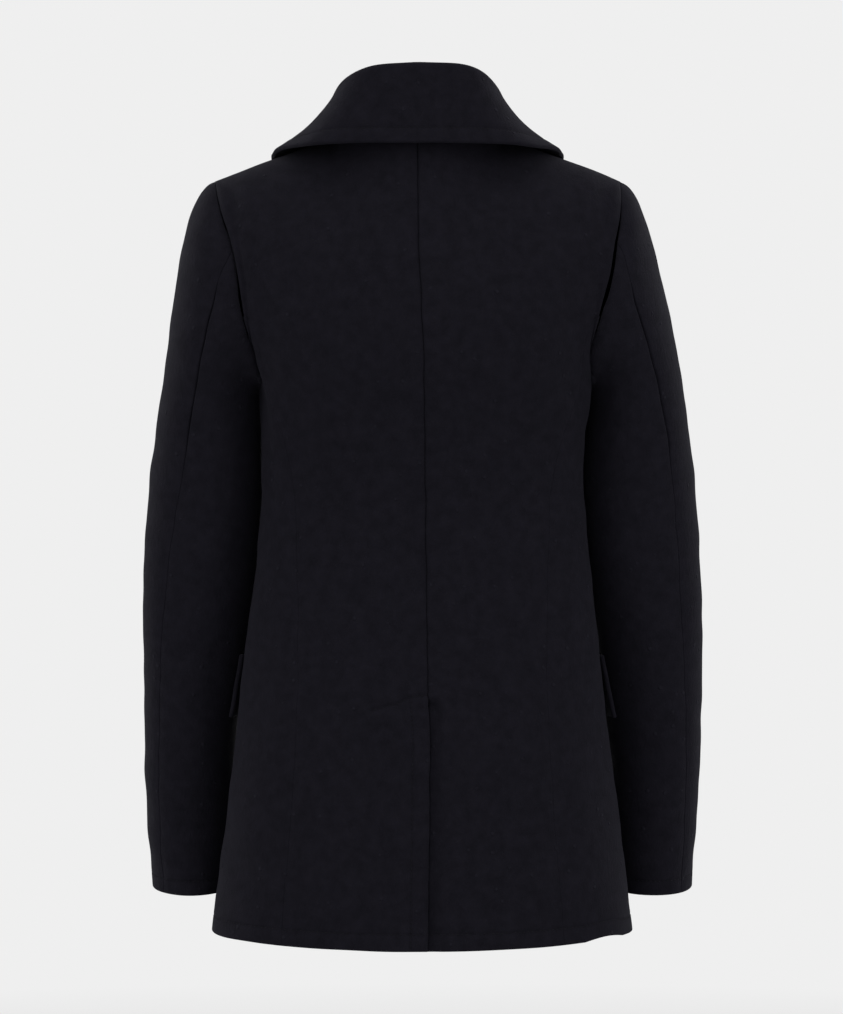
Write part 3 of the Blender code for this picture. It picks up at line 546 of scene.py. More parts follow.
def panel(start, end, marks=(), first=None, last=None, finer=(), centred=False):
    """A fine grid of the body between two lines of angles, given as functions of height.

    marks are angles at the armpit that a column must hit. first and last are the distances of the
    topstitching from the two side edges, or None. finer gives bands of height with closer rows.
    A centred panel's first edge comes to the middle of the neck.
    """
    low = HEM + lines_near(HEM_STITCH)
    heights = [*low, *between(low[-1] + CELL * NEXT_LINE, ARMPIT)[:-1]]
    for bottom, top in finer:
        heights = [h for h in heights if not bottom - BAND_MARGIN < h < top + BAND_MARGIN]
        heights += list(np.arange(bottom, top, FINE_CELL))
    heights.sort()
    ends = start(np.array(ARMPIT)), end(np.array(ARMPIT))
    probe = np.linspace(*ends, PROBES)
    rises = between(0.0, 1 - TOP_SHARE, (), CELL / rise_length(probe).max())
    near_top = np.array(EDGE_LINES[::-1])
    level = np.array([*heights, *[ARMPIT] * (len(rises) + len(near_top))])[:, None]
    rise = np.array([*np.zeros(len(heights)), *rises, *np.ones(len(near_top))])[:, None]
    first_angle, last_angle = start(level[:, 0])[:, None], end(level[:, 0])[:, None]

    def evaluate(share):
        return torso(first_angle + (last_angle - first_angle) * share, level, rise)

    marked = [(m - ends[0]) / (ends[1] - ends[0]) for m in marks]
    share = spread(evaluate, len(level), lines_near(first), lines_near(last), marked)
    theta = first_angle + (last_angle - first_angle) * share
    rise = rise * np.ones_like(theta)
    if centred:
        theta += (pi / 2 - first_angle) * rise * np.clip((theta - NECK) / (pi / 2 - NECK), 0, 1)
    pull = 3 * RISE_PULL * np.maximum(rise_length(theta[-1]), 1e-4)
    for index, distance in enumerate(near_top):
        limit = TOP_SHARE * TOP_USED * (1 - index / (len(near_top) - 1))
        rise[index - len(near_top)] = 1 - np.minimum(distance / pull, limit)
    return torso(theta, level, rise)


def resample(grid, first, last, cell):
    """A grid with its columns spaced anew: at these distances from both ends, evenly between."""
    reached = way_along(grid)
    count = max(2, int(np.ceil((reached[:, -1].mean() - first[-1] - last[-1]) / cell)))
    rows = []
    for points, along in zip(grid, reached):
        squeeze = min(1.0, SQUEEZE * along[-1] / max(first[-1], last[-1]))
        low, high = first * squeeze, along[-1] - last[::-1] * squeeze
        wanted = np.concatenate((low, np.linspace(low[-1], high[0], count + 1)[1:-1], high))
        rows.append(np.stack([np.interp(wanted, along, points[:, k]) for k in range(3)], -1))
    return np.array(rows)


def turned(grid):
    return np.swapaxes(grid, 0, 1)


def respaced(grid, columns, rows, cells):
    """A grid whose columns and then rows are spaced anew, each by resample's first and last."""
    return turned(resample(turned(resample(grid, *columns, cells[0])), *rows, cells[1]))


def distances(grid):
    """How far each point is from the first and last row and the first and last column."""
    rows, columns = turned(way_along(turned(grid))), way_along(grid)
    return rows, rows[-1:] - rows, columns, columns[:, -1:] - columns


# ---- creases and the cloth's own unevenness ----
WAVES = (
    # wavelength, direction x, y, z, phase, height
    (0.171, 0.8, 0.3, 0.5, 0.4, 0.00042),
    (0.127, -0.5, 0.6, 0.6, 2.1, 0.00034),
    (0.089, 0.3, -0.8, 0.5, 4.0, 0.00024),
    (0.067, 0.9, 0.1, -0.4, 1.3, 0.00017),
    (0.048, 0.2, 0.5, 0.8, 5.2, 0.00012),
    (0.037, -0.7, 0.3, 0.6, 3.3, 0.00008),
)
CREASES = (
    # x, y, z of one end, x, y, z of the other, width, height (a trough is negative)
    (0.150, 0.060, -0.215, 0.095, 0.098, -0.330, 0.0140, -0.0016),
    (-0.149, 0.060, -0.220, -0.090, 0.099, -0.318, 0.0130, -0.0014),
    (0.146, 0.052, -0.245, 0.118, 0.080, -0.372, 0.0100, -0.0011),
    (-0.147, 0.050, -0.250, -0.122, 0.078, -0.355, 0.0100, -0.0012),
    (0.132, 0.070, -0.160, 0.110, 0.095, -0.262, 0.0150, 0.0012),
    (-0.134, 0.070, -0.170, -0.112, 0.095, -0.268, 0.0150, 0.0011),
    (0.060, 0.070, -0.040, 0.128, 0.055, -0.090, 0.0120, -0.0009),
    (-0.056, 0.070, -0.038, -0.124, 0.055, -0.084, 0.0120, -0.0008),
    (0.092, 0.088, -0.400, 0.128, 0.070, -0.455, 0.0120, -0.0010),
    (-0.096, 0.088, -0.392, -0.126, 0.070, -0.440, 0.0110, -0.0009),
    (0.030, 0.092, -0.335, 0.084, 0.084, -0.352, 0.0110, -0.0007),
    (-0.026, 0.092, -0.350, -0.080, 0.084, -0.341, 0.0110, -0.0007),
    (0.070, 0.110, -0.585, 0.078, 0.118, -0.715, 0.0190, 0.0013),
    (-0.082, 0.108, -0.600, -0.092, 0.112, -0.720, 0.0190, 0.0013),
    (0.118, 0.085, -0.560, 0.131, 0.088, -0.700, 0.0150, -0.0012),
    (-0.121, 0.085, -0.575, -0.130, 0.088, -0.705, 0.0150, -0.0012),
    (0.175, 0.010, -0.520, 0.187, 0.010, -0.700, 0.0150, -0.0012),
    (-0.175, 0.010, -0.530, -0.187, 0.010, -0.705, 0.0150, -0.0012),
    (0.145, -0.055, -0.220, 0.085, -0.135, -0.300, 0.0130, -0.0016),
    (-0.145, -0.055, -0.225, -0.090, -0.135, -0.310, 0.0130, -0.0015),
    (0.140, -0.060, -0.260, 0.100, -0.110, -0.370, 0.0100, -0.0012),
    (-0.141, -0.060, -0.255, -0.104, -0.110, -0.360, 0.0100, -0.0012),
    (0.080, -0.110, -0.560, 0.086, -0.120, -0.700, 0.0180, 0.0012),
    (-0.076, -0.110, -0.575, -0.082, -0.120, -0.710, 0.0180, 0.0012),
    (-0.030, -0.120, -0.400, -0.090, -0.105, -0.430, 0.0120, -0.0009),
    (0.085, -0.108, -0.395, 0.128, -0.080, -0.440, 0.0110, -0.0009),
    (0.246, -0.050, -0.405, 0.205, -0.079, -0.372, 0.0080, -0.0020),
    (0.247, -0.040, -0.440, 0.208, -0.079, -0.418, 0.0085, -0.0022),
    (0.250, -0.045, -0.470, 0.210, -0.082, -0.462, 0.0080, -0.0016),
    (0.205, 0.028, -0.418, 0.238, 0.018, -0.452, 0.0090, -0.0012),
    (0.200, 0.036, -0.330, 0.232, 0.020, -0.392, 0.0120, 0.0013),
    (0.212, 0.024, -0.215, 0.192, 0.036, -0.300, 0.0120, -0.0014),
    (0.205, 0.030, -0.180, 0.176, 0.050, -0.262, 0.0100, -0.0013),
    (0.198, -0.010, -0.640, 0.232, -0.016, -0.652, 0.0080, -0.0009),
    (-0.246, -0.050, -0.398, -0.205, -0.079, -0.369, 0.0080, -0.0019),
    (-0.248, -0.040, -0.431, -0.208, -0.079, -0.414, 0.0085, -0.0022),
    (-0.250, -0.045, -0.476, -0.210, -0.082, -0.460, 0.0080, -0.0017),
    (-0.206, 0.028, -0.430, -0.238, 0.018, -0.462, 0.0090, -0.0012),
    (-0.200, 0.036, -0.342, -0.232, 0.020, -0.402, 0.0120, 0.0013),
    (-0.214, 0.024, -0.222, -0.194, 0.036, -0.306, 0.0120, -0.0014),
    (-0.205, 0.030, -0.186, -0.176, 0.050, -0.268, 0.0100, -0.0012),
    (-0.199, -0.010, -0.632, -0.232, -0.016, -0.646, 0.0080, -0.0009),
    (0.168, 0.052, -0.112, 0.177, 0.047, -0.137, 0.0034, -0.0013),
    (0.172, 0.049, -0.124, 0.185, 0.040, -0.152, 0.0042, 0.0011),
    (0.166, 0.054, -0.146, 0.170, 0.056, -0.182, 0.0046, -0.0009),
    (-0.168, 0.052, -0.116, -0.177, 0.047, -0.143, 0.0034, -0.0012),
    (-0.172, 0.049, -0.130, -0.186, 0.040, -0.156, 0.0042, 0.0010),
    (-0.166, 0.054, -0.150, -0.170, 0.056, -0.186, 0.0046, -0.0009),
    (0.149, 0.040, -0.245, 0.141, 0.045, -0.345, 0.0130, -0.0035),
    (-0.152, -0.020, -0.222, -0.150, -0.022, -0.275, 0.0140, 0.0025),
    (-0.168, -0.037, -0.455, -0.170, -0.040, -0.490, 0.0150, 0.0012),
    (-0.1715, -0.043, -0.535, -0.174, -0.045, -0.575, 0.0140, 0.0020),
)


LINE_END = 0.08         # share of half a wave that a crease has begun with at its ends
SWAYS = (
    # wavelength, direction x, y, z, phase, shift x, y, z
    (0.062, 0.2, 0.4, 0.9, 0.8, 0.00020, 0.00008, 0.00010),
    (0.041, -0.3, 0.5, 0.8, 2.6, 0.00018, 0.00006, -0.00010),
    (0.027, 0.4, -0.2, 0.9, 4.4, 0.00012, -0.00005, 0.00008),
)
DRIFTS = (
    # x, y, z of one end, x, y, z of the other, width, shift x and z where the coat sits askew
    (0.179, 0.045, -0.090, 0.160, 0.061, -0.155, 0.0120, -0.0065, 0.0),
    (0.152, 0.030, -0.215, 0.150, 0.030, -0.280, 0.0180, -0.0055, 0.0),
    (-0.183, 0.028, -0.062, -0.162, 0.060, -0.165, 0.0200, -0.0087, 0.0),
    (-0.152, 0.030, -0.210, -0.150, 0.030, -0.275, 0.0180, -0.0045, 0.0),
    (-0.185, 0.050, -0.738, -0.150, 0.090, -0.738, 0.0500, 0.0, 0.0035),
)
PUCKER_LENGTH = 0.011
PUCKERS = (
    # share of the frequency, direction x, y, z
    (1.0, 0.9, 0.5, 1.0),
    (1.7, -0.6, 1.0, 0.7),
    (0.6, 1.0, -0.8, 0.5),
)


def beside(points, ends, width):
    """1 beside the middle of a line between two ends, less towards the ends, 0 far away."""
    start, end = np.array(ends[:3]), np.array(ends[3:])
    run = end - start
    t = np.clip(((points - start) @ run) / (run @ run), 0, 1)
    away = np.linalg.norm(points - start - t[..., None] * run, axis=-1)
    return np.exp(-(away / width) ** 2) * np.sin(pi * (LINE_END + (1 - 2 * LINE_END) * t))


def unevenness(points):
    """How far the cloth stands out at these points: long waves and the creases."""
    height = np.zeros(points.shape[:-1])
    for wavelength, x, y, z, phase, size in WAVES:
        along = points @ unit(np.array((x, y, z)))
        height += size * np.sin(along * 2 * pi / wavelength + phase)
    for *ends, width, size in CREASES:
        height += size * beside(points, ends, width)
    return height


def sway(points):
    """Where the cloth lies aside of its even form, so that no seam runs dead straight."""
    moved = np.zeros_like(points)
    for wavelength, x, y, z, phase, *shift in SWAYS:
        along = points @ unit(np.array((x, y, z)))
        moved += np.sin(along * 2 * pi / wavelength + phase)[..., None] * np.array(shift)
    for *ends, width, x, z in DRIFTS:
        moved += beside(points, ends, width)[..., None] * np.array((x, 0, z))
    return moved


def pucker(points):
    """Small unevenness from -1 to 1, for the cloth that stitches and seams gather."""
    value = np.zeros(points.shape[:-1])
    for share, *direction in PUCKERS:
        value += np.sin(points @ np.array(direction) * 2 * pi * share / PUCKER_LENGTH + 7 * share)
    return value / len(PUCKERS)


# ---- building cloth ----
made = {}               # each finished cloth's outer face, normals and distances from its edges


def placed(name, data):
    """A new object of the scene with this mesh, light or camera."""
    item = bpy.data.objects.new(name, data)
    bpy.context.scene.collection.objects.link(item)
    return item


def mesh_of(name, shape):
    """The mesh of a finished bmesh, which is freed."""
    mesh = bpy.data.meshes.new(name)
    shape.to_mesh(mesh)
    shape.free()
    return mesh


def seam(radius=SEAM_ROUND):
    """An edge that is sewn to another piece and turns in with this radius."""
    return {"free": False, "radius": radius}


def free(stitch=None):
    """A loose edge, folded to two layers, with a rounded rim and topstitching at a distance."""
    return {"free": True, "stitch": stitch}


def armhole_seam(line):
    """The seam along a line of points at a panel's or sleeve's top, deepest low at the back."""
    halved = (ramp(line[:, 2], *ARM_ROUND_ABOVE) + ramp(line[:, 2], *ARM_ROUND_MIDDLE)) / 2
    middle = ramp(line[:, 2], *ARM_ROUND_BELOW) * halved * ramp(line[:, 1], *ARM_ROUND_BEHIND)
    return seam(ARM_ROUND_ENDS + (ARM_ROUND - ARM_ROUND_ENDS) * middle)


def hind_seam(line):
    """The hind-arm seam along a column of points."""
    middle = ramp(line[:, 2], *HIND_ROUND_BELOW) * ramp(line[:, 2], *HIND_ROUND_ABOVE)
    return seam((SEAM_ROUND + (HIND_ROUND - SEAM_ROUND) * middle)[:, None])


def quarter(distance, radius):
    """Depth of a quarter circle that starts at distance 0 and is level from radius on."""
    inside = np.clip(radius - distance, 0, radius)
    return radius - np.sqrt(radius * radius - inside * inside)


def stitch_sink(off, small):
    """Depth of the cloth at this distance from a line of stitches; small is its pucker."""
    return STITCH_SINK * (1 + STITCH_PUCKER * small) * np.exp(-(off / STITCH_WIDTH) ** 2)


def cloth(name, grid, outward, edges, thickness=WALL, relief=0.0, open_below=None):
    """A closed shell: the grid is its outer face, to which edges, stitching and creases are added.

    edges are those of the first and last row and of the first and last column. Below open_below
    the first column is a loose, topstitched edge.
    """
    grid = grid.copy()
    away = distances(grid)
    for axis, pair in ((0, edges[:2]), (1, edges[2:])):
        lines = np.moveaxis(grid, axis, 0)
        for edge, line, nearest in ((pair[0], 0, 2), (pair[1], -1, -3)):
            if not edge["free"]:
                lines[line] += unit(lines[line] - lines[nearest]) * SEAM_REACH
    normals = face_normals(grid) * outward
    depth, inner_rise, turn = np.zeros((3, *grid.shape[:2]))
    thick = np.full(grid.shape[:2], thickness)
    small = pucker(grid)
    for edge, distance in zip(edges, away):
        if edge["free"]:
            folded = ramp(distance, HEM_FOLD, HEM_FOLD - FOLD_FADE)
            thick = np.maximum(thick, WALL + (DOUBLE - WALL) * folded)
    for edge, distance in zip(edges, away):
        if edge["free"]:
            rim = quarter(distance, thick * 0.5) * RIM_SHARE
            depth = np.maximum(depth, rim)
            inner_rise = np.maximum(inner_rise, rim)
            if edge["stitch"]:
                off = distance - edge["stitch"]
                swell = SWELL * np.exp(-((off + SWELL_PLACE) / SWELL_WIDTH) ** 2)
                depth = depth + stitch_sink(off, small) - swell
        else:
            sink = SEAM_SINK * np.exp(-(distance / SEAM_SINK_WIDTH) ** 2)
            sink *= (1 + SEAM_PUCKER * small) * np.minimum(edge["radius"] / SEAM_ROUND, 1)
            depth = np.maximum(depth, quarter(distance, edge["radius"]) + sink)
            turn = np.maximum(turn, SEAM_TURN * ramp(distance, SEAM_TURN_WIDTH, 0.0))
    if open_below is not None:
        opened = ramp(grid[..., 2], open_below + VENT_EASE, open_below - VENT_EASE)
        depth = depth + opened * stitch_sink(away[2] - HEM_STITCH, small)
        thick += opened * (DOUBLE - WALL) * ramp(away[2], HEM_FOLD, HEM_FOLD - FOLD_FADE)
        thick = np.minimum(thick, DOUBLE)
    height = unevenness(grid)
    outer = grid + normals * (height - depth + relief)[..., None]
    inner = grid + normals * (height - thick - turn + inner_rise + relief)[..., None]
    for points in (outer, inner):
        points += sway(points)
        points[..., 0] += LEAN * ramp(points[..., 2], *LEAN_RANGE)
    made[name] = outer, normals, away
    points = np.concatenate((outer.reshape(-1, 3), inner.reshape(-1, 3)))
    return mesh_piece("wool_" + name, points, shell_faces(*outer.shape[:2], outward))


def quads_of(index):
    """The faces of a grid of vertex numbers."""
    corners = index[:-1, :-1], index[:-1, 1:], index[1:, 1:], index[1:, :-1]
    return np.stack(corners, -1).reshape(-1, 4)


def shell_faces(rows, columns, outward):
    """Faces of two grids of points, outer and inner, and of the rim that closes them."""
    count = rows * columns
    index = np.arange(count).reshape(rows, columns)
    ring = np.concatenate((index[0, :], index[1:, -1], index[-1, -2::-1], index[-2:0:-1, 0]))
    ahead = np.roll(ring, -1)
    rim = np.stack((ahead, ring, ring + count, ahead + count), -1)[:, ::outward]
    quads = quads_of(index)[:, ::outward]
    return np.concatenate((quads, quads[:, ::-1] + count, rim))


def mesh_piece(name, points, faces):
    """A smooth-shaded object of quads in the scene."""
    mesh = bpy.data.meshes.new(name)
    mesh.vertices.add(len(points))
    mesh.vertices.foreach_set("co", np.asarray(points, np.float32).ravel())
    mesh.loops.add(faces.size)
    mesh.loops.foreach_set("vertex_index", np.asarray(faces, np.int32).ravel())
    mesh.polygons.add(len(faces))
    mesh.polygons.foreach_set("loop_start", np.arange(0, faces.size, faces.shape[1]))
    mesh.update(calc_edges=True)
    mesh.validate()
    mesh.shade_smooth()
    return placed(name, mesh)


def join(name, parts):
    """Finished objects as one, in their place."""
    shape = bmesh.new()
    for part in parts:
        shape.from_mesh(part.data)
        bpy.data.objects.remove(part)
    mesh = mesh_of(name, shape)
    mesh.shade_smooth()
    return placed(name, mesh)


def tree_of(grids):
    """A search tree of the faces of some grids."""
    points, faces = [], []
    for grid in grids:
        index = len(points) + np.arange(grid[..., 0].size).reshape(grid.shape[:2])
        faces += quads_of(index).tolist()
        points += grid.reshape(-1, 3).tolist()
    return BVHTree.FromPolygons(points, faces)


# ---- panels of the body ----
def back(side):
    """One back panel. The left one covers the vent, and the right one has the underlap."""
    covers = side > 0
    cover = VENT_COVER if covers else 0.0

    def centre(height):
        return angle_at(side * seam_x(height) - cover * ramp(height, VENT_TOP, VENT_EDGE), height)

    grid = panel(centre, lambda h: seam_angle(SIDE_BACK, h), (NECK, TIP),
                 first=HEM_STITCH if covers else None, finer=[VENT_BAND], centred=True)
    normals = face_normals(grid)
    below = ramp(grid[..., 2], VENT_SEAM, VENT_TOP)
    if not covers:
        far = distances(grid)[2]
        grid += normals * (LAP * ramp(far, BACK_STEP[1], BACK_STEP[0]) * below)[..., None]
    grid = mirror(grid, side)
    relief = vent_relief(grid) if covers else 0.0
    edges = (free(HEM_STITCH), armhole_seam(grid[-1]), seam(CENTRE_ROUND), seam(FLAT_ROUND))
    main = cloth("back_" + SIDE[side], grid, -side, edges, relief=relief,
                 open_below=VENT_TOP if covers else None)
    if covers:
        return main
    low = HEM + lines_near(HEM_STITCH)
    low = np.array([*low, *between(low[-1] + CELL * UNDERLAP_NEXT, UNDERLAP_TOP)])[:, None]
    lap = section(angle_at(between(-VENT_WIDTH, UNDERLAP_TUCK) - seam_x(low), low), low)
    lap += face_normals(lap) * LAP
    flat = cloth("underlap", mirror(lap, side), -side, (free(HEM_STITCH), seam(), free(), seam()))
    return join("wool_back_right", [main, flat])


def vent_relief(grid):
    """The slanted bar of stitches that holds the vent's upper end, sunk into the left back."""
    height = np.zeros(grid.shape[:2])
    x, z = grid[..., 0], grid[..., 2]
    bar = np.array(VENT_BAR)
    off = z - np.interp(x, bar[:, 0], bar[:, 1])
    first, last = bar[0, 0], bar[-1, 0]
    inside = ramp(x, first - BAR_FADE[0], first + BAR_FADE[1])
    inside *= ramp(x, last + BAR_FADE[1], last - BAR_FADE[0])
    for size, place, width in BAR_RELIEF:
        height += size * inside * np.exp(-((off + place) / width) ** 2)
    return height


def side_panel(side):
    grid = panel(lambda h: seam_angle(SIDE_BACK, h), lambda h: -seam_angle(SIDE_FRONT, h))
    return cloth("side_" + SIDE[side], mirror(grid, side), -side,
                 (free(HEM_STITCH), seam(ARM_ROUND_ENDS), seam(FLAT_ROUND), seam(FLAT_ROUND)))


def front_grid():
    return panel(lambda h: -seam_angle(SIDE_FRONT, h),
                 lambda h: -angle_at(-FRONT_EDGE, h), (-TIP, -NECK), last=HEM_STITCH)


def under(grid, cover):
    """The left front's grid, set in where it lies below the right front."""
    tree = tree_of([cover])
    line = top_edge(-np.linspace(BREAK, NECK, PROBES))
    for point in grid.reshape(-1, 3):
        edge = np.interp(point[2], line[:, 2], -line[:, 0])
        start = edge + STEP_START + STEP_WIDER * ramp(point[2], *STEP_TURN)
        share = ramp(point[0], start + STEP_LENGTH, start)
        if share > 0:
            level = point[1]
            for up in (0, STEP_REACH):
                before = Vector((min(point[0], edge - STEP_MARGIN), -1, point[2] + up))
                spot = tree.ray_cast(before, Vector((0, 1, 0)))[0]
                level = max(level, spot.y) if spot else level
            point[1] += share * (level + LAP - point[1])
    return grid


def front(side, grid):
    """One front. The right one covers the left one, which is set in below it."""
    grid = mirror(grid, side)
    if side > 0:
        grid = under(grid, mirror(grid, -1))
    return cloth("front_" + SIDE[side], grid, -side,
                 (free(HEM_STITCH), armhole_seam(grid[-1]), seam(FLAT_ROUND), free(HEM_STITCH)))


# ---- sleeves ----
def ring(phi, height):
    """A point of the sleeve below its head; phi runs from its outer side over the back."""
    x, y, half_width, half_depth = np.moveaxis(smooth(SLEEVE, height), -1, 0)
    across, along = half_width * np.cos(phi), half_depth * np.sin(phi)
    tilt = CUFF_TILT * ramp(height, CUFF_TILTS_BELOW, CUFF)
    return np.stack((x + across, y + along, height - tilt * along), -1)


def sleeve_surface(phi, height, cap):
    """The outer face of a sleeve: rings up to the biceps, then the head up to the armhole."""
    low = ring(phi, height)
    end, below = ring(phi, BICEPS), ring(phi, BICEPS - SLOPE_STEP)
    wrapped = (phi + pi) % (2 * pi) - pi
    start = armhole(wrapped)
    start[..., 0] -= UNDERARM_TUCK * ramp(np.abs(wrapped), *UNDERARM)
    leave = smooth(DEPARTURE, np.degrees(np.abs(wrapped)))
    leave[..., 1] *= np.where(wrapped < 0, -1, 1)
    length = np.linalg.norm(end - start, axis=-1, keepdims=True)
    first = start + unit(leave) * np.minimum(CAP_PULL * length, CAP_REACH)
    last = end - unit(below - end) * SLEEVE_PULL * length
    high = bezier(start, first, last, end, cap[..., None])
    return np.where(cap[..., None] < 1, high, low)


def sleeve(side, upper):
    low = CUFF + lines_near(CUFF_STITCH)
    heights = np.array([*low, *between(low[-1] + CELL * NEXT_LINE, BICEPS)])
    caps = np.array([*between(CAP_TOP, 1, (), CAP_CELL)[-2::-1],
                     *np.array(EDGE_LINES[::-1]) / (3 * CAP_REACH)])
    level = np.array([*heights, *[BICEPS] * len(caps)])[:, None]
    cap = np.array([*np.ones(len(heights)), *caps])[:, None]
    hind = smooth(HIND_ARM, np.where(cap < 1, level + HIND_RISE * (1 - cap), level))
    hind = np.radians(hind[..., 0 if side > 0 else 1])
    fore = np.full_like(hind, radians(FORE_ARM))
    first, last = (fore, hind) if upper else (hind, fore + 2 * pi)

    def evaluate(share):
        return sleeve_surface(first + (last - first) * share, level, cap)

    share = spread(evaluate, len(level), lines_near(), lines_near())
    grid = mirror(evaluate(share), side)
    name = ("top_sleeve_" if upper else "under_sleeve_") + SIDE[side]
    lengthwise = (seam(), hind_seam(grid[:, -1])) if upper else (hind_seam(grid[:, 0]), seam())
    return cloth(name, grid, side, (free(CUFF_STITCH), armhole_seam(grid[-1]), *lengthwise))


# ---- pieces that lie on the body ----
def body_tree():
    """The body's whole outer face as a search tree, for what lies on it."""
    low, high = BODY_ROWS
    heights = np.concatenate((np.linspace(HEM, ARMPIT, low), np.full(high, ARMPIT)))
    rises = np.concatenate((np.zeros(low), np.linspace(0, 1, high + 1)[1:]))
    theta = np.ones((low + high, 1)) * np.linspace(-BREAK, pi / 2, BODY_COLUMNS)
    grid = torso(theta, heights[:, None], rises[:, None])
    return tree_of([grid, mirror(grid, -1)])


def outward_normal(point, normal):
    """The normal that points away from the middle of the body."""
    middle = Vector((0, 0, min(point.z, ARMHOLE_MID)))
    return normal if normal.dot(point - middle) > 0 else -normal


def on_front(tree, x, z):
    """The point of the front at this x and z, and its normal."""
    spot, normal, _, _ = tree.ray_cast(Vector((x, -1, z)), Vector((0, 1, 0)))
    return spot, outward_normal(spot, normal)


def clear_of(tree, point, distance):
    """The point, pushed out where it is nearer to the body than distance."""
    spot, normal, _, _ = tree.find_nearest(Vector(point))
    normal = outward_normal(spot, normal)
    height = (Vector(point) - spot).dot(normal)
    if height < distance:
        return Vector(point) + normal * (distance - height)
    return Vector(point)


def taut(grid, out, passes):
    """The grid with its dents bridged towards out, as stiff cloth lies over them."""
    for axis in (0, 1) * passes:
        lines = np.moveaxis(grid, axis, 0)
        sag = ((lines[:-2] + lines[2:]) / 2 - lines[1:-1]) @ out
        lines[1:-1] += np.maximum(sag, 0)[..., None] * out
    return grid


def softened(grid, passes):
    """The grid with each inner point moved towards the mean of its neighbours."""
    for _ in range(passes):
        mean = (grid[:-2, 1:-1] + grid[2:, 1:-1] + grid[1:-1, :-2] + grid[1:-1, 2:]) / 4
        grid[1:-1, 1:-1] += 0.5 * (mean - grid[1:-1, 1:-1])
    return grid


def lapel(side, tree):
    """A turned-back lapel, which rolls over the front's edge and lies on its front."""
    hidden = LEFT_LAPEL if side > 0 else (0, 0)
    out = unit(np.array(LAPEL_OUT)) * np.array((side, 1, 1))
    grid = []
    for up in np.linspace(0, 1, LAPEL_ROWS):
        row = []
        for across in np.linspace(0, 1, LAPEL_COLUMNS):
            start = hidden[0] + (hidden[1] - hidden[0]) * across
            fold_x, fold_z, edge_x, edge_z = smooth(ROLL, start + (1 - start) * up)
            x = fold_x + (edge_x - fold_x) * across
            z = fold_z + (edge_z - fold_z) * across
            z += NOTCH_RISE * 2 * min(across, 1 - across) * up ** 3
            spot = np.array(on_front(tree, x * -side, z)[0])
            row.append(spot + (LAPEL_LIFT + FOLD_LIFT * (1 - across) ** 4) * out)
        grid.append(row)
    grid = softened(taut(np.array(grid), out, LAPEL_TAUT), LAPEL_SOFT) + LAP * out
    fold = grid[:, 0]
    away = unit(fold - grid[:, 3])
    away = unit(away - (away @ out)[:, None] * out)
    turns = np.linspace(LAPEL_TURN, 0, LAPEL_STEPS)[:-1]
    roll = [fold + LAPEL_ROLL * (out * (np.cos(a) - 1) + away * np.sin(a)) for a in turns]
    grid = np.concatenate((np.stack(roll, 1), grid), 1)
    plain, stitched = lines_near(), lines_near(LAPEL_STITCH)
    grid = respaced(grid, (plain, stitched), (plain, plain), LAPEL_CELLS)
    return cloth("lapel_" + SIDE[side], grid, side, (free(), free(), free(), free(LAPEL_STITCH)),
                 thickness=DOUBLE)


def neck_seam(along):
    """The point of the neck seam this far from the nape (0) to the collar's end (1)."""
    if along < COLLAR_SPLIT:
        theta = pi / 2 + (NECK - pi / 2) * along / COLLAR_SPLIT
    else:
        past = (along - COLLAR_SPLIT) / (1 - COLLAR_SPLIT)
        theta = -NECK - (BREAK - NECK) * COLLAR_FORE * past
    return top_edge(np.array([theta]))[0]


def collar(tree):
    """The whole collar: a stand that rises from the neck seam, folded over into a wide fall."""
    rows = []
    rise = np.array((0, 0, 1.0))
    stand, turns, fall = COLLAR_STEPS
    for along in np.linspace(-1, 1, COLLAR_ROWS):
        values = smooth(COLLAR, abs(along))
        side = -1 if along < 0 else 1
        roll, edge, spread_out = values[:3], values[3:6], values[6]
        out = unit(roll - rise * roll[2])
        up = FOOT_RISE[0] + (FOOT_RISE[1] - FOOT_RISE[0]) * along * along
        foot = neck_seam(abs(along)) - out * FOOT_IN + rise * up
        hinge = roll - rise * ROLL_RADIUS
        inner = hinge - out * ROLL_RADIUS
        row = [foot + (inner - foot) * t for t in np.linspace(0, 1, stand)[:-1]]
        for turn in np.linspace(0, pi, turns):
            row.append(hinge + ROLL_RADIUS * (rise * np.sin(turn) - out * np.cos(turn)))
        start = row[-1]
        bend = start + (edge - start) * 0.5 - out * spread_out
        for t in np.linspace(0, 1, fall)[1:]:
            point = start * (1 - t) ** 2 + bend * 2 * t * (1 - t) + edge * t * t
            row.append(np.array(clear_of(tree, point, COLLAR_CLEAR)))
        rows.append([p * np.array((side, 1, 1)) for p in row])
    stitched = lines_near(COLLAR_STITCH)
    grid = respaced(softened(np.array(rows), COLLAR_SOFT), (lines_near(), stitched),
                    (stitched, stitched), COLLAR_CELLS)
    loose = free(COLLAR_STITCH)
    return cloth("collar", grid, -1, (loose, loose, seam(), loose))


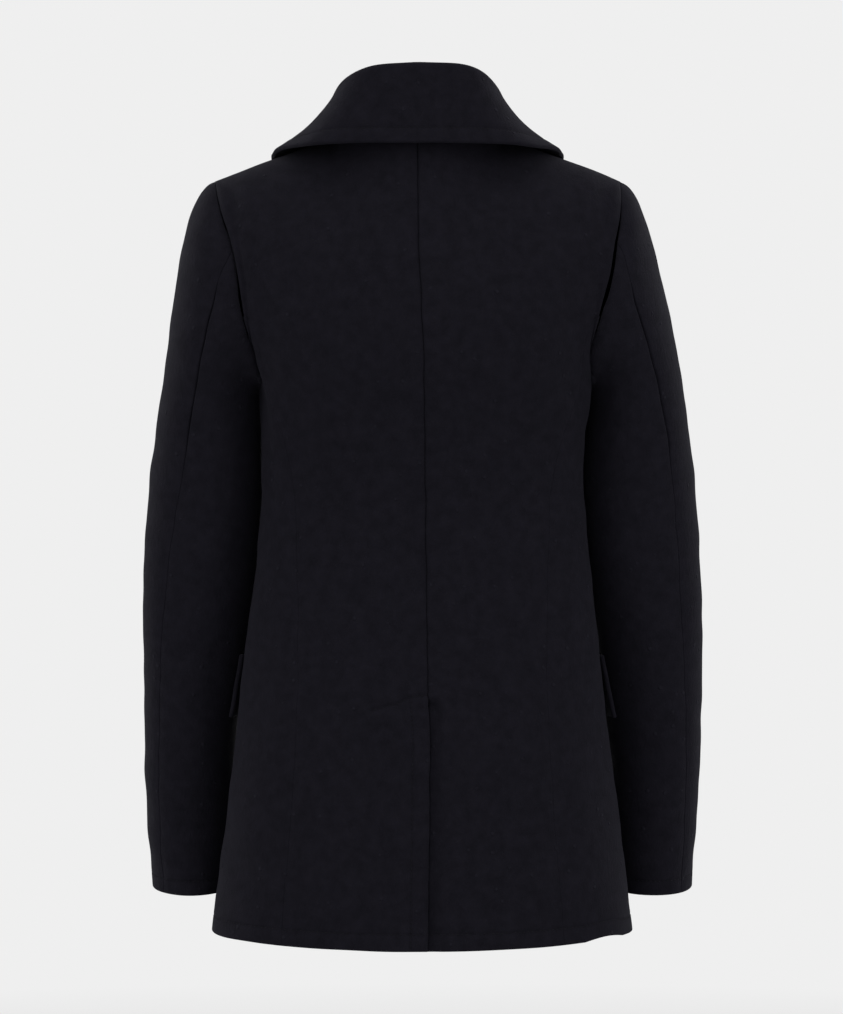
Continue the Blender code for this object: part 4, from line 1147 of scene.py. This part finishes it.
def flap(side):
    """A pocket flap at the hip, standing off towards its rear lower corner."""
    theta = -np.radians(np.linspace(FLAP_REAR, FLAP_FORE, FLAP_COLUMNS))
    rear = np.linspace(1, 0, FLAP_COLUMNS) ** FLAP_BENDS[0]
    flare = FLAP_FLARE[SIDE[side]] * (FLAP_FLARE_FORE + (1 - FLAP_FLARE_FORE) * rear)
    rows = []
    for down in np.linspace(1, 0, FLAP_ROWS):
        height = FLAP_TOP + (FLAP_BOTTOM - FLAP_TOP) * down
        points = section(theta, height)
        ahead = section(theta + FLAP_PROBE, height) - points
        normal = unit(np.cross(ahead, np.array((0, 0, 1.0))))
        lift = DOUBLE + FLAP_GAP + flare * down ** FLAP_BENDS[1]
        rows.append(points + normal * lift[:, None])
    stitched = lines_near(FLAP_STITCH)
    grid = respaced(mirror(np.array(rows), side), (stitched, stitched), (stitched, lines_near()),
                    FLAP_CELLS)
    loose = free(FLAP_STITCH)
    return cloth("flap_" + SIDE[side], grid, -side, (loose, seam(FLAP_ROUND), loose, loose),
                 thickness=DOUBLE)


# ---- buttons and thread ----
def button_disc():
    """The mesh of a four-hole button with a raised rim, facing +Z."""
    half = BUTTON_HEIGHT / 2
    shape, holes = bmesh.new(), bmesh.new()
    points = [shape.verts.new((r * BUTTON_RADIUS, 0, h * half)) for r, h in BUTTON_PROFILE]
    edges = [shape.edges.new(pair) for pair in zip(points, points[1:])]
    bmesh.ops.spin(shape, geom=points + edges, axis=(0, 0, 1), cent=(0, 0, 0), angle=2 * pi,
                   steps=BUTTON_SIDES, use_merge=True)
    bmesh.ops.remove_doubles(shape, verts=shape.verts, dist=0.00001)
    bmesh.ops.recalc_face_normals(shape, faces=shape.faces)
    for x, y in ((1, 1), (1, -1), (-1, 1), (-1, -1)):
        place = Matrix.Translation((x * HOLE_SPREAD, y * HOLE_SPREAD, 0))
        bmesh.ops.create_cone(holes, cap_ends=True, segments=HOLE_SIDES, radius1=HOLE_RADIUS,
                              radius2=HOLE_RADIUS, depth=BUTTON_HEIGHT * 2, matrix=place)
    blank = placed("blank", mesh_of("disc", shape))
    cutter = placed("cutter", mesh_of("holes", holes))
    cut = blank.modifiers.new("holes", "BOOLEAN")
    cut.operation = "DIFFERENCE"
    cut.object = cutter
    bpy.context.view_layer.update()
    evaluated = blank.evaluated_get(bpy.context.evaluated_depsgraph_get())
    mesh = bpy.data.meshes.new_from_object(evaluated)
    for item in (blank, cutter):
        bpy.data.objects.remove(item)
    return mesh


def button(number, disc, tree, x, z):
    """A button on the front at x and z, and the paths of its two bars of thread."""
    half = BUTTON_HEIGHT / 2
    seat, facing = on_front(tree, x, z)
    place = facing.to_track_quat("Z", "Y").to_matrix().to_4x4()
    place.translation = seat + facing * (half + BUTTON_GAP)
    mesh = disc.copy()
    mesh.transform(place)
    mesh.shade_smooth()
    mesh.set_sharp_from_angle(angle=SHARP)
    top = half * BUTTON_PROFILE[-1][1] + THREAD_RADIUS * 0.7
    # share of the way from hole to hole, height
    rise = ((0, -half), (0, top * 0.8), (0.4, top), (0.6, top), (1, top * 0.8), (1, -half))
    bars = [[place @ Vector((sx * HOLE_SPREAD + shift * THREAD_RADIUS, HOLE_SPREAD * (2 * t - 1), h))
             for t, h in rise]
            for sx in (-1, 1) for shift in (-0.9, 0.0, 0.9)]
    return placed(f"horn_button_{number}", mesh), bars


def tubes(name, paths, radius, sides=6):
    """Round threads along short paths, tapered at both ends, as one mesh."""
    points, faces = [], []
    for path in paths:
        path = np.array([tuple(p) for p in path])
        ahead = unit(np.gradient(path, axis=0))
        aside = unit(np.cross(ahead, np.where(np.abs(ahead[:, 2:]) > 0.8, (1.0, 0, 0), (0, 0, 1.0))))
        up = np.cross(ahead, aside)
        start = len(points)
        share = np.linspace(-1, 1, len(path))
        thick = radius * np.sqrt(np.clip(TAPER - share ** 4, 0, 1))
        for place, a, b, r in zip(path, aside, up, thick):
            for k in range(sides):
                turn = 2 * pi * k / sides
                points.append(place + r * (a * np.cos(turn) + b * np.sin(turn)))
        for i in range(len(path) - 1):
            for k in range(sides):
                a = start + i * sides + k
                b = start + i * sides + (k + 1) % sides
                faces.append((a, b, b + sides, a + sides))
    return mesh_piece(name, np.array(points), np.array(faces))


def stitch_paths(line, normals):
    """Short paths of the stitches along a line of points on the cloth."""
    steps = np.linalg.norm(np.diff(line, axis=0), axis=-1)
    reached = np.concatenate(([0], np.cumsum(steps)))
    paths = []
    for number in range(int(reached[-1] / STITCH_PITCH)):
        middle = (number + 0.5) * STITCH_PITCH
        wanted = middle + np.linspace(-0.5, 0.5, STITCH_POINTS) * STITCH_LENGTH
        place = np.stack([np.interp(wanted, reached, line[:, k]) for k in range(3)], -1)
        lift = np.stack([np.interp(wanted, reached, normals[:, k]) for k in range(3)], -1)
        share = np.linspace(-1, 1, STITCH_POINTS)
        bow = STITCH_RADIUS * (STITCH_BOW[0] - STITCH_BOW[1] * share ** 2)
        paths.append(place + lift * bow[:, None])
    return paths


def stitched_line(name, edge, distance, below=1.0):
    """Paths of the stitches at this distance from an edge of a finished cloth, below a height."""
    outer, normals, away = made[name]
    if edge < 2:
        row = int(np.abs(away[edge].mean(1) - distance).argmin())
        line, lift = outer[row], normals[row]
    else:
        column = int(np.abs(np.median(away[edge], 0) - distance).argmin())
        line, lift = outer[:, column], normals[:, column]
    low = line[:, 2] < below
    return stitch_paths(line[low], lift[low])


# ---- materials ----
class Nodes:
    """Short names for making a material's nodes."""

    def __init__(self, name):
        self.material = bpy.data.materials.new(name)
        self.material.use_nodes = True
        self.tree = self.material.node_tree
        self.shader = self.tree.nodes["Principled BSDF"]
        self.place = self.tree.nodes.new("ShaderNodeTexCoord").outputs["Object"]

    def fill(self, socket, value):
        """Sets a socket to a constant, or links it to another node's output."""
        if isinstance(value, bpy.types.NodeSocket):
            self.tree.links.new(value, socket)
        else:
            socket.default_value = value

    def node(self, kind, output, inputs, **settings):
        """An output of a new node with these inputs and settings."""
        node = self.tree.nodes.new("ShaderNode" + kind)
        for key, value in settings.items():
            setattr(node, key, value)
        for key, value in inputs.items():
            self.fill(node.inputs[key], value)
        return node.outputs[output]

    def noise(self, scale, detail=3.0, roughness=0.55, stretch=None):
        place = self.place
        if stretch:
            place = self.node("Mapping", "Vector", {"Vector": place, "Scale": stretch})
        return self.node("TexNoise", "Fac", {"Vector": place, "Scale": scale, "Detail": detail,
                                             "Roughness": roughness})

    def spots(self, scale, radius):
        """1 in the middle of scattered round spots, 0 between them."""
        away = self.node("TexVoronoi", "Distance", {"Vector": self.place, "Scale": scale})
        return self.spread(away, 1.0, 0.0, radius, radius * SPOT_FADE)

    def spread(self, value, low, high, start=0.3, end=0.7):
        return self.node("MapRange", "Result", {"Value": value, "From Min": start,
                                                "From Max": end, "To Min": low, "To Max": high})

    def blend(self, factor, first, second):
        """A mix of two colours; a colour is three numbers or an output."""
        first, second = ((*c, 1) if isinstance(c, tuple) else c for c in (first, second))
        return self.node("Mix", 2, {0: factor, 6: first, 7: second}, data_type="RGBA")

    def times(self, value, factor):
        return self.node("Math", 0, {0: value, 1: factor}, operation="MULTIPLY")

    def bump(self, height, distance, strength=1.0, below=None):
        inputs = {"Distance": distance, "Strength": strength, "Height": height}
        if below:
            inputs["Normal"] = below
        return self.node("Bump", "Normal", inputs)

    def set(self, **values):
        """Fills the main shader's sockets."""
        for key, value in values.items():
            self.fill(self.shader.inputs[key.replace("_", " ")], value)


def melton():
    """Brushed, near-black navy wool: felted fibres, faint mottling and a soft sheen."""
    nodes = Nodes("navy_melton")
    mottle = nodes.spread(nodes.noise(95.0, 4.0, 0.6), 0.0, 1.0)
    fibre = nodes.noise(1150.0, 4.0, 0.7)
    nap = nodes.noise(420.0, 3.0, 0.6, stretch=(1.0, 1.0, 0.45))
    colour = nodes.blend(mottle, WOOL_DARK, WOOL_LIGHT)
    fleck = nodes.spread(fibre, 0.0, 1.0, 0.56, 0.74)
    colour = nodes.blend(nodes.times(fleck, 0.55), colour, WOOL_FLECK)
    nubs = nodes.spots(55.0, 0.050)
    colour = nodes.blend(nodes.times(nubs, 0.22), colour, WOOL_FLECK)
    raised = nodes.bump(nubs, 0.0012, 0.8)
    coarse = nodes.bump(nap, 0.00075, 0.75, raised)
    fine = nodes.bump(fibre, 0.00050, 0.8, coarse)
    nodes.set(Base_Color=colour, Roughness=0.95, Sheen_Weight=0.020, Sheen_Roughness=0.45,
              Sheen_Tint=(*WOOL_SHEEN, 1), Specular_IOR_Level=0.04, Normal=fine)
    return nodes.material


def horn():
    """Dark polished horn-like plastic with faint streaks."""
    nodes = Nodes("dark_horn")
    streak = nodes.spread(nodes.noise(240.0, 4.0, 0.6, stretch=(1.0, 1.0, 0.25)), 0.0, 1.0)
    worn = nodes.spread(nodes.noise(900.0, 2.0), 0.24, 0.40)
    nodes.set(Base_Color=nodes.blend(streak, *HORN_TONES), Roughness=worn, Specular_IOR_Level=0.5,
              Normal=nodes.bump(nodes.noise(1500.0, 2.0), 0.00004, 0.6))
    return nodes.material


def thread():
    """Tonal sewing thread, a little glossier than the wool; painted shade makes its colour darker
    than the wool's.
    """
    nodes = Nodes("navy_thread_painted_shade")
    twist = nodes.noise(2600.0, 1.0)
    # the thread's colour holds painted shade: darker than the wool, so the stitch lines read as
    # shadowed
    nodes.set(Base_Color=nodes.blend(twist, *THREAD_AND_PAINTED_SHADE_TONES), Roughness=0.75,
              Specular_IOR_Level=0.12, Normal=nodes.bump(twist, 0.0001, 0.6))
    return nodes.material


def paper():
    """Pale paper of the floor, which fades into the backdrop around it."""
    nodes = Nodes("pale_paper")
    tone = nodes.spread(nodes.noise(3.0, 2.0), 0.0, 1.0)
    nodes.set(Base_Color=nodes.blend(tone, *FLOOR_TONES), Roughness=1.0, Specular_IOR_Level=0.0)
    away = nodes.node("VectorMath", "Value", {0: nodes.place}, operation="LENGTH")
    nodes.set(Alpha=nodes.spread(away, 1.0, 0.0, *FLOOR_FADE))
    return nodes.material


# ---- floor, light and camera ----
def stage():
    shape = bmesh.new()
    bmesh.ops.create_circle(shape, cap_ends=True, segments=96, radius=FLOOR_RADIUS)
    floor = placed("floor", mesh_of("floor", shape))
    floor.location.z = FLOOR
    floor.data.materials.append(paper())


LIGHTS = (
    # name, x, y, z, width, height, power
    ("left_rear", 2.3, 1.5, 0.3, 0.9, 2.0, 25),
    ("right_rear", -2.3, 1.5, 0.3, 0.9, 2.0, 26),
    ("left_fore", 2.2, -1.7, 0.4, 1.0, 2.0, 22),
    ("right_fore", -2.2, -1.7, 0.4, 1.0, 2.0, 22),
    ("overhead", 0.0, 0.6, 2.2, 1.6, 1.6, 14),
)


def lights():
    for name, x, y, z, width, height, energy in LIGHTS:
        data = bpy.data.lights.new(name, "AREA")
        data.shape = "RECTANGLE"
        data.size = width
        data.size_y = height
        data.energy = energy
        lamp = placed(name, data)
        lamp.location = (x, y, z)
        aim = Vector((0, 0, CAMERA[2])) - lamp.location
        lamp.rotation_euler = aim.to_track_quat("-Z", "Y").to_euler()
        lamp.visible_camera = False
    world = bpy.data.worlds.new("studio")
    world.use_nodes = True
    world.node_tree.nodes["Background"].inputs["Color"].default_value = (PAPER, PAPER, PAPER, 1)
    bpy.context.scene.world = world


def camera():
    data = bpy.data.cameras.new("camera")
    data.lens = LENS
    data.sensor_width = 36.0
    eye = placed("camera", data)
    eye.location = CAMERA
    eye.rotation_euler = (pi / 2, 0, pi)
    bpy.context.scene.camera = eye
    bpy.context.scene.view_settings.view_transform = "Standard"


# ---- putting the coat together ----
PIECES = (
    # piece, width, length and area of its flat cut in metres, how it is held, distance of its
    # topstitching and the edges that have it: 0 first row, 1 last row, 2 first column, 3 last column
    ("back_left", 0.260, 0.760, 0.1145, "hung", HEM_STITCH, (0,)),
    ("back_right", 0.260, 0.760, 0.120, "hung", HEM_STITCH, (0,)),
    ("side_left", 0.200, 0.560, 0.084, "hung", HEM_STITCH, (0,)),
    ("side_right", 0.200, 0.560, 0.084, "hung", HEM_STITCH, (0,)),
    ("front_left", 0.330, 0.760, 0.173, "hung", HEM_STITCH, (0, 3)),
    ("front_right", 0.330, 0.760, 0.173, "hung", HEM_STITCH, (0, 3)),
    ("top_sleeve_left", 0.230, 0.650, 0.108, "hung", CUFF_STITCH, (0,)),
    ("top_sleeve_right", 0.230, 0.650, 0.108, "hung", CUFF_STITCH, (0,)),
    ("under_sleeve_left", 0.165, 0.560, 0.079, "hung", CUFF_STITCH, (0,)),
    ("under_sleeve_right", 0.165, 0.560, 0.079, "hung", CUFF_STITCH, (0,)),
    ("lapel_left", 0.100, 0.190, 0.0111, "folded", LAPEL_STITCH, (3,)),
    ("lapel_right", 0.130, 0.240, 0.018, "folded", LAPEL_STITCH, (3,)),
    ("collar", 0.460, 0.150, 0.048, "folded", COLLAR_STITCH, (0, 1, 3)),
    ("flap_left", 0.155, 0.062, 0.0092, "hung", FLAP_STITCH, (0, 2, 3)),
    ("flap_right", 0.155, 0.062, 0.0092, "hung", FLAP_STITCH, (0, 2, 3)),
)


def bar_paths():
    """Stitches of the slanted bar that holds the vent's upper end."""
    tree = tree_of([made["back_left"][0]])
    bar = np.array(VENT_BAR)
    line, lift = [], []
    for x in np.linspace(bar[0, 0], bar[-1, 0], BAR_POINTS):
        z = np.interp(x, bar[:, 0], bar[:, 1])
        spot, normal, _, _ = tree.ray_cast(Vector((x, 1, z)), Vector((0, -1, 0)))
        if spot:
            line.append(spot)
            lift.append(outward_normal(spot, normal))
    return stitch_paths(np.array(line), np.array(lift))


def carried(piece, material, slot, replaces=False):
    """The piece with its material, in the coat's one body, in the place of a solid or beside it."""
    piece.data.materials.append(material)
    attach(piece, "root")
    if replaces:
        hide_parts(slot)
    return piece


def main():
    wool, horn_material, yarn = melton(), horn(), thread()
    tree = body_tree()
    fronts = front_grid()
    shells = []
    for side in (1, -1):
        shells += [back(side), side_panel(side), front(side, fronts), sleeve(side, True),
                   sleeve(side, False), flap(side), lapel(side, tree)]
    shells.append(collar(tree))
    shells = {piece.name: piece for piece in shells}
    for name, width, length, area, held, distance, edges in PIECES:
        piece = carried(shells["wool_" + name], wool, name, replaces=True)
        paths = [path for edge in edges for path in stitched_line(name, edge, distance)]
        if name == "back_left":
            paths += stitched_line(name, 2, distance, VENT_STITCH_TOP) + bar_paths()
        stitches = carried(tubes("stitches_" + name, paths, STITCH_RADIUS), yarn, name)
    disc = button_disc()
    spots = [(x, z) for x in (-BUTTON_X, BUTTON_X) for z in BUTTON_Z]
    for number, (x, z) in enumerate(spots, 1):
        piece, bars = button(number, disc, tree, x, z)
        carried(piece, horn_material, f"button_{number}", replaces=True)
        carried(tubes(f"button_thread_{number}", bars, THREAD_RADIUS), yarn, f"button_{number}")
    stage()
    lights()
    camera()
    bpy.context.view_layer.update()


main()
